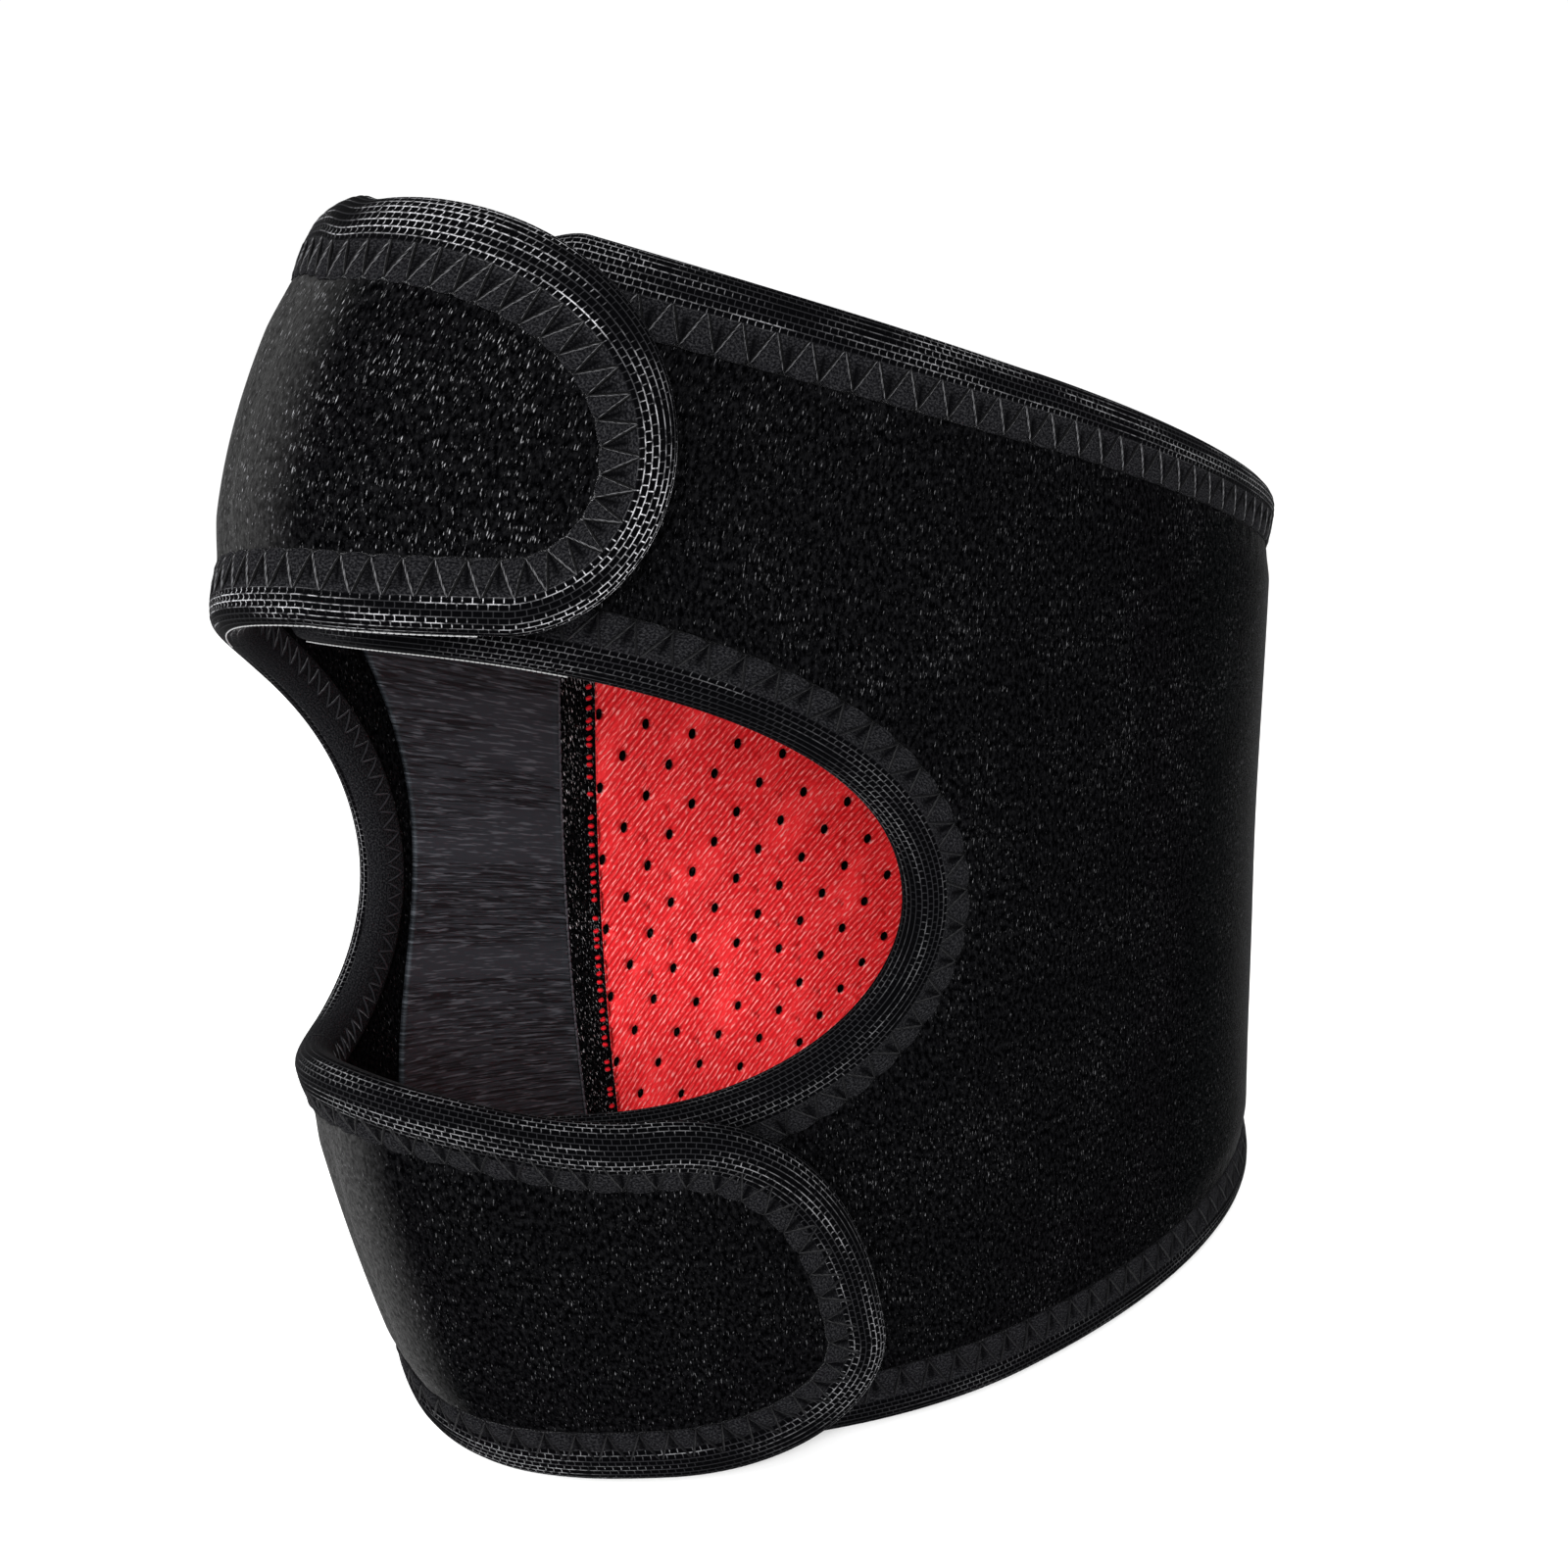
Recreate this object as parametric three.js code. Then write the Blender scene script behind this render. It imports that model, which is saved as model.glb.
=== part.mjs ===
// Patella strap: a padded cloth ring for the knee, with an open window over the kneecap.
// Millimetres, +Z up. The window faces -Y, the closed side faces +X, the lower rim is at z = 0.
// Places on the ring are given as s, the way round from the front centre (+ toward +X), and z.
import * as THREE from 'three';

// Driving sizes of the ring
const frontHeight = 150;
const backHeight = 105;
const ringHalfWidth = 40.3;
const ringHalfLength = 79.2;
const ringSquareness = 2.07;
const topFall = 0.886;

// The front leans back above and below its fullest height
const fullestHeight = 100;
const leanAbove = 18.8;
const leanBelow = 12.9;
const narrowAbove = 2.4;
const widenBelow = 1.25;

// Layers, from the outer face inward
const wallThickness = 2.8;
const tapeThickness = 0.8;
const liningThickness = 0.7;
const pieceGap = 0.3;
const tapeWidth = 8;
const tapeInnerWidth = 5;
const tapeBight = 0.9;
const tapeChamfer = 0.4;

// The closing straps cross the front, then rise over the near ends of the wrap
const frontSet = -0.5;
const frontSetStart = -50;
const frontSetEnd = -10;
const crossRise = 1.4;
const crossStart = -5;
const crossEnd = 20;
const tipRiseStart = 30;
const tipRiseEnd = 90;
const underEnd = 8;
const underInset = 1.5;
const underInsetStart = 24;
const underInsetEnd = 36;
const strapSeam = -12;

// Kneecap window: reach is along the ring, rise and drop are from its axis
const windowAxis = 71;
const nearReach = 79.9;
const nearTopStart = 8;
const nearRise = 33.4;
const nearBottomStart = 40;
const nearDrop = 22.6;
const farReach = 35.8;
const farTopStart = 15.2;
const farRise = 36.3;
const farBottomStart = -17.3;
const farDrop = 19.1;

// Upper closing strap
const upperReach = 51.6;
const upperTopStart = 8;
const upperCornerStart = 36;
const upperEdgeFall = 1.4;
const upperEndRadius = 15.5;
const upperTopDrop = 0.9;

// Lower closing strap
const lowerReach = 68.2;
const lowerTopStart = 43.5;
const lowerTopHeight = 49.8;
const lowerTopSquareness = 2.4;
const lowerBottomStart = 37.4;
const lowerTipHeight = 18.3;
const lowerCrown = 4.6;
const crownPlace = 10.8;

// Hook patches stay this far inside the tapes, and further from a strap's round end
const hookMargin = 3;
const hookTipMargin = 8.5;

// Inner faces of the far wall
const gripEdge = -44.1;
const gripBend = 24;
const gripBendHeight = 76;
const gripBendReach = 44.6;
const gripBack = -64.4;
const gripBackSlope = -0.111;
const liningEdge = -71.6;
const liningEdgeSlope = -0.107;
const liningNearEnd = 92;
const edgeTurns = 6;

// Mesh steps
const columnStep = 4.8;
const patchRows = 4;
const leaningRows = 6;
const liningRows = 8;
const fewestSteps = 6;
const ringSamples = 720;
const placeDigits = 3;
const sameStation = 1e-6;
const measureHeight = frontHeight / 2;

const clamp01 = (t) => Math.min(1, Math.max(0, t));
const ease = (t) => clamp01(t) ** 2 * (3 - 2 * clamp01(t));
const mix = (a, b, t) => a + (b - a) * t;
const power = (value, exponent) => Math.sign(value) * Math.abs(value) ** exponent;

// Ring section at a height: half sizes and the centre's y
function section(z) {
  const above = z > fullestHeight;
  const share = above
    ? (z - fullestHeight) / (frontHeight - fullestHeight)
    : (fullestHeight - z) / fullestHeight;
  const lean = (above ? leanAbove : leanBelow) * share ** 2;
  const widen = (above ? -narrowAbove : widenBelow) * share ** 2;
  return { a: ringHalfWidth + widen, b: ringHalfLength - lean / 2, y: lean / 2 };
}

function sectionPoint(angle, z) {
  const { a, b, y } = section(z);
  const exponent = 2 / ringSquareness;
  return [a * power(Math.sin(angle), exponent), y - b * power(Math.cos(angle), exponent)];
}

// Way round the ring against its angle, measured once at middle height
const wayRound = [0];
for (let i = 1; i <= ringSamples; i += 1) {
  const [x0, y0] = sectionPoint((Math.PI * (i - 1)) / ringSamples, measureHeight);
  const [x1, y1] = sectionPoint((Math.PI * i) / ringSamples, measureHeight);
  wayRound.push(wayRound[i - 1] + Math.hypot(x1 - x0, y1 - y0));
}
const halfRound = wayRound[ringSamples];
const ringLength = 2 * halfRound;

function angleAt(s) {
  const signed = s > halfRound ? s - ringLength : s;
  const way = Math.min(Math.abs(signed), halfRound);
  let i = 1;
  while (i < ringSamples && wayRound[i] < way) i += 1;
  const share = (way - wayRound[i - 1]) / (wayRound[i] - wayRound[i - 1]);
  return (Math.sign(signed) * Math.PI * (i - 1 + share)) / ringSamples;
}

// A place on the ring, moved out by d square to the ring's plan
function ringPoint(s, z, d) {
  const { a, b, y: centre } = section(z);
  const [x, y] = sectionPoint(angleAt(s), z);
  const nx = power(x / a, ringSquareness - 1) / a;
  const ny = power((y - centre) / b, ringSquareness - 1) / b;
  const size = Math.hypot(nx, ny);
  return [x + (d * nx) / size, y + (d * ny) / size, z];
}

const topEdge = (s) => {
  const share = (1 + Math.cos(angleAt(s))) / 2;
  return backHeight + (frontHeight - backHeight) * share ** topFall;
};

// A folded tape's faces, and the room that one taped layer takes over another
const tapeOuter = pieceGap + tapeThickness;
const tapeInner = -(wallThickness + pieceGap + tapeThickness);
const layerStep = tapeOuter - tapeInner + pieceGap;

// Where each layer's outer face lies: the near part of the wrap is one step under the straps,
// until they would be a whole step above the ring
const risen = (s, start, end) => ease((s - start) / (end - start));
const strapFace = (s) =>
  frontSet * risen(s, frontSetStart, frontSetEnd)
  + crossRise * risen(s, crossStart, crossEnd)
  + (layerStep - frontSet - crossRise) * risen(s, tipRiseStart, tipRiseEnd);
const wrapFace = (s) => (s > halfRound ? strapFace(s - ringLength) : strapFace(s) - layerStep);
const wrapTop = (s) => {
  if (s > halfRound) return topEdge(s);
  return topEdge(s) - underInset * (1 - risen(s, underInsetStart, underInsetEnd));
};

// A quarter of an oval, as height against way
const oval = (way, reach, rise, squareness = 2) => {
  const share = clamp01(way / reach);
  return rise * (1 - share ** squareness) ** (1 / squareness);
};

// Window edges, widened by e; f is the way from the front centre, less than 0 on the far side
const nearTop = (s, e) => windowAxis + oval(s - nearTopStart, nearReach - nearTopStart + e, nearRise + e);
const nearBottom = (s, e) =>
  windowAxis - oval(s - nearBottomStart, nearReach - nearBottomStart + e, nearDrop + e);
const farTop = (f, e) => windowAxis + oval(farTopStart - f, farReach + farTopStart + e, farRise + e);
const crown = (f) => {
  const width = f < crownPlace ? crownPlace - farBottomStart : lowerTopStart - crownPlace;
  return lowerCrown * Math.cos((Math.PI / 2) * clamp01(Math.abs(f - crownPlace) / width)) ** 2;
};
const farBottom = (f, e) => {
  const reach = farReach + farBottomStart + e;
  return windowAxis - oval(farBottomStart - f, reach, farDrop + e) + crown(f);
};

// Outlines of the closing straps
const upperTip = windowAxis + farRise - upperEdgeFall + upperEndRadius;
const upperRise = frontHeight - upperTopDrop - upperTip;
const upperTopEdge = (s, e) => {
  if (s <= upperTopStart) return mix(topEdge(s), upperTip + upperRise, ease(s / upperTopStart)) - e;
  return upperTip + oval(s - upperTopStart, upperReach - upperTopStart - e, upperRise - e);
};
const upperLowEdge = (s, e) => {
  if (s <= farTopStart) return farTop(s, e);
  if (s <= upperCornerStart) {
    const share = (s - farTopStart) / (upperCornerStart - farTopStart);
    return windowAxis + farRise - upperEdgeFall * share + e;
  }
  return upperTip - oval(s - upperCornerStart, upperReach - upperCornerStart - e, upperEndRadius - e);
};
const lowerTopEdge = (s, e) => {
  if (s <= lowerTopStart) {
    const share = clamp01((s - farBottomStart) / (lowerTopStart - farBottomStart));
    return mix(windowAxis - farDrop, lowerTopHeight, share) + crown(s) - e;
  }
  const reach = lowerReach - lowerTopStart - e;
  const rise = lowerTopHeight - lowerTipHeight - e;
  return lowerTipHeight + oval(s - lowerTopStart, reach, rise, lowerTopSquareness);
};
const lowerLowEdge = (s, e) => {
  if (s <= lowerBottomStart) return e;
  return lowerTipHeight - oval(s - lowerBottomStart, lowerReach - lowerBottomStart - e, lowerTipHeight - e);
};

// Closed mesh from triangles, faces turned outward, made into a named mesh
function solid(name, points, triangles, look) {
  let volume = 0;
  for (const [i, j, k] of triangles) {
    const [a, b, c] = [points[i], points[j], points[k]];
    volume += a[0] * (b[1] * c[2] - b[2] * c[1]);
    volume += a[1] * (b[2] * c[0] - b[0] * c[2]);
    volume += a[2] * (b[0] * c[1] - b[1] * c[0]);
  }
  const outward = volume > 0 ? triangles : triangles.map(([i, j, k]) => [i, k, j]);
  const geometry = new THREE.BufferGeometry();
  geometry.setAttribute('position', new THREE.Float32BufferAttribute(points.flat(), 3));
  geometry.setIndex(outward.flat());
  geometry.computeVertexNormals();
  const mesh = new THREE.Mesh(geometry, new THREE.MeshStandardMaterial(look));
  mesh.name = name;
  return mesh;
}

// Flat patches of places [s, z], joined where they share places, given two faces and closed edges
function sheetSolid(name, patches, outer, inner, look) {
  const places = [];
  const known = new Map();
  const triangles = [];
  const place = ([s, z]) => {
    const key = `${s.toFixed(placeDigits)} ${z.toFixed(placeDigits)}`;
    if (!known.has(key)) {
      known.set(key, places.length);
      places.push([s, z]);
    }
    return known.get(key);
  };
  const add = (i, j, k) => {
    if (i !== j && j !== k && k !== i) triangles.push([i, j, k]);
  };
  for (const columns of patches) {
    const index = columns.map((column) => column.map(place));
    for (let c = 1; c < index.length; c += 1) {
      for (let r = 1; r < index[c].length; r += 1) {
        const [p, q, t, u] = [index[c - 1][r - 1], index[c][r - 1], index[c][r], index[c - 1][r]];
        add(p, q, t);
        add(p, t, u);
      }
    }
  }
  const count = places.length;
  const points = places.map(([s, z]) => ringPoint(s, z, outer(s)));
  points.push(...places.map(([s, z]) => ringPoint(s, z, inner(s))));
  const edges = new Map();
  for (const [i, j, k] of triangles) {
    for (const [from, to] of [[i, j], [j, k], [k, i]]) {
      if (!edges.delete(`${to} ${from}`)) edges.set(`${from} ${to}`, [from, to]);
    }
  }
  const faces = [...triangles, ...triangles.map(([i, j, k]) => [i + count, k + count, j + count])];
  for (const [from, to] of edges.values()) {
    faces.push([to, from, from + count]);
    faces.push([to, from + count, to + count]);
  }
  return solid(name, points, faces, look);
}

// Columns between two height functions
const patch = (stations, low, high, rows = patchRows) =>
  stations.map((s) => Array.from({ length: rows + 1 }, (_, r) => [s, mix(low(s), high(s), r / rows)]));

const evenly = (from, to, step = columnStep) => {
  const count = Math.max(1, Math.round(Math.abs(to - from) / step));
  return Array.from({ length: count + 1 }, (_, i) => mix(from, to, i / count));
};

// Steps along a quarter oval, from its length
const ovalSteps = (reach, rise) =>
  Math.max(fewestSteps, Math.round((Math.PI / 2) * Math.hypot(reach, rise) / Math.SQRT2 / columnStep));

// Stations that crowd toward the round end of an oval
const rounding = (from, to) => {
  const steps = ovalSteps(Math.abs(to - from), Math.abs(to - from) / 2);
  return Array.from({ length: steps + 1 }, (_, i) => mix(from, to, Math.sin((Math.PI / 2) * (i / steps))));
};

const joined = (...lists) => {
  const all = lists.flat();
  return all.filter((s, i) => i === 0 || Math.abs(s - all[i - 1]) > sameStation);
};

// Folded tape section: e is the way in from the edge, d the way out from the outer face
const tapeSection = [
  [tapeChamfer, tapeOuter],
  [tapeWidth, tapeOuter],
  [tapeWidth, pieceGap],
  [tapeBight, pieceGap],
  [tapeBight, -(wallThickness + pieceGap)],
  [tapeInnerWidth, -(wallThickness + pieceGap)],
  [tapeInnerWidth, tapeInner],
  [tapeChamfer, tapeInner],
  [0, tapeInner + tapeChamfer],
  [0, tapeOuter - tapeChamfer],
];

// Tape along an edge; each run gives the place [s, z] for a share u and a way in e
function tape(name, runs, face, look) {
  const stations = [];
  runs.forEach(({ steps, at }, r) => {
    for (let i = r === 0 ? 0 : 1; i <= steps; i += 1) stations.push((e) => at(i / steps, e));
  });
  const size = tapeSection.length;
  const points = [];
  for (const station of stations) {
    for (const [e, d] of tapeSection) {
      const [s, z] = station(e);
      points.push(ringPoint(s, z, face(s) + d));
    }
  }
  const faces = [];
  for (let n = 1; n < stations.length; n += 1) {
    for (let k = 0; k < size; k += 1) {
      const next = (k + 1) % size;
      const [p, q] = [(n - 1) * size + k, (n - 1) * size + next];
      faces.push([p, q, q + size]);
      faces.push([p, q + size, p + size]);
    }
  }
  const outline = tapeSection.map(([e, d]) => new THREE.Vector2(e, d));
  const turned = THREE.ShapeUtils.isClockWise(outline);
  const last = (stations.length - 1) * size;
  for (const [i, j, k] of THREE.ShapeUtils.triangulateShape(outline, [])) {
    faces.push(turned ? [i, j, k] : [i, k, j]);
    faces.push(turned ? [i + last, k + last, j + last] : [i + last, j + last, k + last]);
  }
  return solid(name, points, faces, look);
}

const straight = (from, to, height) => ({
  steps: Math.max(1, Math.round(Math.abs(to - from) / columnStep)),
  at: (u, e) => [mix(from, to, u), height(mix(from, to, u), e)],
});

// Quarter oval run about a centre; side +1 or -1 gives its way along s and its way in z
const corner = (centre, axis, reach, rise, sideS, sideZ, grow, first, last, squareness = 2) => ({
  steps: ovalSteps(reach, rise),
  at: (u, e) => {
    const [a, b] = [reach + grow * e, rise + grow * e];
    const turn = mix(first(a), last(a), u);
    const along = a * Math.sin(turn) ** (2 / squareness);
    const up = b * Math.cos(turn) ** (2 / squareness);
    return [centre + sideS * along, axis + sideZ * up];
  },
});
const level = () => 0;
const upright = () => Math.PI / 2;

const cloth = { color: 0x141416, roughness: 0.95, metalness: 0 };
const tapeLook = { color: 0x26262a, roughness: 0.8, metalness: 0 };
const hookLook = { color: 0x1a1a1c, roughness: 0.9, metalness: 0 };
const gripLook = { color: 0x2e2d33, roughness: 0.7, metalness: 0 };
const redLook = { color: 0xd21f26, roughness: 0.85, metalness: 0 };

// Body of the wrap, from under the straps on the near side, round the back, to the strap seam
function mainWrap() {
  const inset = tapeBight + pieceGap;
  const far = ringLength - farReach - inset;
  const end = ringLength + strapSeam;
  const stations = joined(
    evenly(underEnd, nearBottomStart),
    rounding(nearBottomStart, nearReach + inset),
    evenly(nearReach + inset, far),
    rounding(end, far).reverse(),
  );
  const nearLow = (s) => (s < nearReach + inset ? nearBottom(s, inset) : windowAxis);
  const nearHigh = (s) => (s < nearReach + inset ? nearTop(s, inset) : windowAxis);
  const farLow = (s) => (s > far ? farBottom(s - ringLength, inset) : windowAxis);
  const farHigh = (s) => (s > far ? farTop(s - ringLength, inset) : windowAxis);
  const low = (s) => (s > halfRound ? farLow(s) : nearLow(s));
  const high = (s) => (s > halfRound ? farHigh(s) : nearHigh(s));
  const patches = [
    patch(stations, () => inset, low),
    patch(stations, high, (s) => wrapTop(s) - inset, leaningRows),
  ];
  return sheetSolid('main_wrap', patches, wrapFace, (s) => wrapFace(s) - wallThickness, cloth);
}

function closingStrap(name, start, tip, low, high, cornerStart) {
  const inset = tapeBight + pieceGap;
  const stations = joined(evenly(start, cornerStart), rounding(cornerStart, tip - inset));
  const patches = [patch(stations, (s) => low(s, inset), (s) => high(s, inset))];
  return sheetSolid(name, patches, strapFace, (s) => strapFace(s) - wallThickness, cloth);
}

// Hook patches fill the space between a strap and the wrap under it
const hookInner = (s) => wrapFace(s) + pieceGap;
const hookOuter = (s) => strapFace(s) - wallThickness - pieceGap;
const hookClear = tapeWidth + hookMargin;
const hookTipClear = tapeWidth + hookTipMargin;

function hookPatch(name, from, to, low, high) {
  const patches = [patch(evenly(from, to), low, high)];
  return sheetSolid(name, patches, hookOuter, hookInner, hookLook);
}

// Inner linings lie on the wrap's inner face, clear of the tapes
const liningOuter = (s) => wrapFace(s) - wallThickness - pieceGap;
const liningInner = (s) => liningOuter(s) - liningThickness;
const liningFoot = tapeInnerWidth + pieceGap;

function lining(name, left, right, look) {
  const columns = evenly(0, 1, columnStep / Math.abs(right(windowAxis) - left(windowAxis)));
  const sheet = columns.map((u) =>
    Array.from({ length: liningRows + 1 }, (_, r) => {
      let z = windowAxis;
      let s = left(z);
      for (let turn = 0; turn < edgeTurns; turn += 1) {
        s = mix(left(z), right(z), u);
        z = mix(liningFoot, topEdge(s) - liningFoot, r / liningRows);
      }
      return [s, z];
    }));
  return sheetSolid(name, [sheet], liningOuter, liningInner, look);
}

// The grip panel's front edge bends forward above and below, by less and less toward the rims
const gripLeft = (z) => {
  const rise = ((z - gripBendHeight) / gripBendReach) ** 2;
  return ringLength + gripEdge + (gripBend * rise) / Math.hypot(1, rise);
};
const gripRight = (z) => ringLength + gripBack + gripBackSlope * z;
const redLeft = (z) => ringLength + liningEdge + liningEdgeSlope * z;

const model = new THREE.Group();
model.add(mainWrap());
const strapStart = strapSeam + pieceGap;
model.add(closingStrap('upper_tab', strapStart, upperReach, upperLowEdge, upperTopEdge, upperTopStart));
model.add(closingStrap('lower_tab', strapStart, lowerReach, lowerLowEdge, lowerTopEdge, lowerBottomStart));
model.add(hookPatch('hook_patch_upper', underEnd + tapeWidth, upperReach - hookTipClear,
  () => windowAxis + farRise + hookClear,
  (s) => upperTopEdge(s, 0) - hookClear));
model.add(hookPatch('hook_patch_lower', underEnd + tapeWidth, lowerReach - hookTipClear,
  () => hookClear,
  (s) => Math.min(nearBottom(s, 0), lowerTopEdge(s, 0)) - hookClear));
const stripLeft = (z) => redLeft(z) + pieceGap;
const stripRight = (z) => gripRight(z) - pieceGap;
model.add(lining('grip_panel', gripRight, gripLeft, gripLook));
model.add(lining('seam_strip', stripLeft, stripRight, cloth));
model.add(lining('red_lining', () => liningNearEnd, redLeft, redLook));

const seamEnd = ringLength + strapSeam;
model.add(tape('top_binding', [straight(underEnd, seamEnd, (s, e) => wrapTop(s) - e)], wrapFace, tapeLook));
model.add(tape('bottom_binding', [straight(underEnd, seamEnd, (s, e) => e)], wrapFace, tapeLook));
model.add(tape('near_notch_binding', [
  corner(nearTopStart, windowAxis, nearReach - nearTopStart, nearRise, 1, 1, 1, level, upright),
  corner(nearBottomStart, windowAxis, nearReach - nearBottomStart, nearDrop, 1, -1, 1, upright, level),
  straight(nearBottomStart, underEnd, nearBottom),
], wrapFace, tapeLook));

const farCut = (a) => Math.asin((farTopStart - strapSeam) / a);
model.add(tape('far_notch_binding', [
  corner(ringLength + farTopStart, windowAxis, farReach + farTopStart, farRise,
    -1, 1, 1, farCut, upright),
  corner(ringLength + farBottomStart, windowAxis, farReach + farBottomStart, farDrop,
    -1, -1, 1, upright, level),
  straight(ringLength + farBottomStart, seamEnd, (s, e) => lowerTopEdge(s - ringLength, e)),
], wrapFace, tapeLook));

model.add(tape('upper_tab_binding', [
  straight(strapStart, upperTopStart, upperTopEdge),
  corner(upperTopStart, upperTip, upperReach - upperTopStart, upperRise, 1, 1, -1, level, upright),
  corner(upperCornerStart, upperTip, upperReach - upperCornerStart, upperEndRadius,
    1, -1, -1, upright, level),
  straight(upperCornerStart, strapStart, upperLowEdge),
], strapFace, tapeLook));
model.add(tape('lower_tab_binding', [
  straight(strapStart, lowerBottomStart, lowerLowEdge),
  corner(lowerBottomStart, lowerTipHeight, lowerReach - lowerBottomStart, lowerTipHeight,
    1, -1, -1, level, upright),
  corner(lowerTopStart, lowerTipHeight, lowerReach - lowerTopStart, lowerTopHeight - lowerTipHeight,
    1, 1, -1, upright, level, lowerTopSquareness),
  straight(lowerTopStart, strapStart, lowerTopEdge),
], strapFace, tapeLook));

// The origin is under the middle of the whole, on the lower rim
const box = new THREE.Box3().setFromObject(model);
const middle = box.getCenter(new THREE.Vector3());
model.position.set(-middle.x, -middle.y, -box.min.z);

export default model;
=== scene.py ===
# %% [markdown]
# # A patella strap
# A band of padded black cloth stands closed on its lower rim, with an open window for the kneecap.
# Every cloth edge is folded into a ribbed tape. The frame gives the room that each piece takes, and
# this lesson builds the cloth, the tapes, the stitches and the linings inside that room.

# %% Load the frame
import math

import bpy
import numpy as np
from mathutils import Matrix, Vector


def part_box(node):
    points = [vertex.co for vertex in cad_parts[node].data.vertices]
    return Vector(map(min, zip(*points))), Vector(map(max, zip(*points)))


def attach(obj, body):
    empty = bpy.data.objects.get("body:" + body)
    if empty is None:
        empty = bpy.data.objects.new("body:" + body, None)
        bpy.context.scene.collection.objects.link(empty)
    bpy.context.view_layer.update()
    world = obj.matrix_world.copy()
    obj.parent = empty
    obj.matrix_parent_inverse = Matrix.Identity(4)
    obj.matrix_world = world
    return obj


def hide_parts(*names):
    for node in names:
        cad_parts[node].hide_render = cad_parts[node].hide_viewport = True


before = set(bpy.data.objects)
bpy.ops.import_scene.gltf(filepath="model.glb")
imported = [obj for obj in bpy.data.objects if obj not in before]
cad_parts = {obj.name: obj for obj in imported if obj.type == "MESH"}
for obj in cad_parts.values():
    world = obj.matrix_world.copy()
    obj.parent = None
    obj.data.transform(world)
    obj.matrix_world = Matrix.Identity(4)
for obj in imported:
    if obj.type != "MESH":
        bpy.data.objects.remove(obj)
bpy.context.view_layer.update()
MM = 0.001

# %% [markdown]
# ## The ring that everything lies on
# The strap is one ring. In plan it is a rounded oval, and its front leans back above and below the
# fullest height. A place on it is given by s, the way round from the front centre in millimetres, by
# z, its height, and by d, how far it stands out. One function turns s, z and d into a point, so a
# flat drawing of the cloth becomes the closed strap. Bending one flat sheet with a lattice or a curve
# would do it too, but the formula keeps every piece and every stitch on the same surface.

# %% Sizes of the ring
front_height, back_height, top_fall = 150.0, 105.0, 0.886
half_width, half_length, squareness = 40.3, 79.2, 2.07
fullest_height, lean_above, lean_below = 100.0, 18.8, 12.9
narrow_above, widen_below = 2.4, 1.25
middle_height = front_height / 2


def section(z):
    """Half width, half length and centre of the oval at height z: they change with the square of
    the distance from the fullest height."""
    above = z > fullest_height
    share = np.where(above, (z - fullest_height) / (front_height - fullest_height),
                     (fullest_height - z) / fullest_height)
    lean = np.where(above, lean_above, lean_below) * share ** 2
    widen = np.where(above, -narrow_above, widen_below) * share ** 2
    return half_width + widen, half_length - lean / 2, lean / 2


def oval_point(angle, z):
    """A superellipse: half width times sine, and half length times cosine, each to 2 / squareness."""
    a, b, y = section(z)
    power = 2 / squareness
    sine, cosine = np.sin(angle), np.cos(angle)
    return (a * np.sign(sine) * np.abs(sine) ** power,
            y - b * np.sign(cosine) * np.abs(cosine) ** power)


print("oval at the fullest height:", section(np.array(fullest_height)))

# %% The way round
angle_table = np.linspace(0, np.pi, 721)
table_x, table_y = oval_point(angle_table, np.full(721, middle_height))
way_table = np.concatenate([[0], np.cumsum(np.hypot(np.diff(table_x), np.diff(table_y)))])
half_round = way_table[-1]
round_length = 2 * half_round


def angle_at(s):
    """The angle whose way round is s, read from the measured table, with its sign."""
    signed = np.where(s > half_round, s - round_length, s)
    return np.sign(signed) * np.interp(np.abs(signed), way_table, angle_table)


print("round the ring:", round(round_length, 1), "mm")

# %% From s, z and d to a point
wall, piece_gap, tape_thickness = 2.8, 0.3, 0.8
tape_outer = piece_gap + tape_thickness
frame_low, frame_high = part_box("bottom_binding")
shift_x = frame_low.x / MM + half_width + widen_below + tape_outer
shift_y = frame_high.y / MM - half_length - tape_outer


def ring(s, z, d):
    """The oval's point at s and z, moved d along the oval's normal in plan, in metres."""
    s, z, d = np.broadcast_arrays(s, z, d)
    a, b, centre = section(z)
    x, y = oval_point(angle_at(s), z)
    u, v = x / a, (y - centre) / b
    nx = np.sign(u) * np.abs(u) ** (squareness - 1) / a
    ny = np.sign(v) * np.abs(v) ** (squareness - 1) / b
    size = np.hypot(nx, ny)
    return np.stack([x + d * nx / size + shift_x, y + d * ny / size + shift_y, z], -1) * MM


print("shifted", round(shift_x, 2), round(shift_y, 2), "mm to the frame's middle")

# %% [markdown]
# ## Where the layers lie
# The straps cross the front and rise over the near end of the wrap, which lies one layer under them
# until they end. Sudden steps would show as creases, so each rise is a smooth step.

# %% Layers
front_set, cross_rise = -0.5, 1.4
tape_inner = -(wall + piece_gap + tape_thickness)
layer_step = tape_outer - tape_inner + piece_gap
strap_seam, under_end, window_axis = -12.0, 8.0, 71.0


def ease(t):
    """Smooth step: 3 t squared minus 2 t cubed, held between 0 and 1."""
    t = np.clip(t, 0, 1)
    return t * t * (3 - 2 * t)


def mix(a, b, t):
    """The value a share t of the way from a to b."""
    return a + (b - a) * t


def risen(s, start, end):
    """How much of a rise from start to end is done at s."""
    return ease((s - start) / (end - start))


def strap_face(s):
    """A little in at the front, then out in two smooth rises, up to one layer step."""
    return (front_set * risen(s, -50, -10) + cross_rise * risen(s, -5, 20)
            + (layer_step - front_set - cross_rise) * risen(s, 30, 90))


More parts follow.
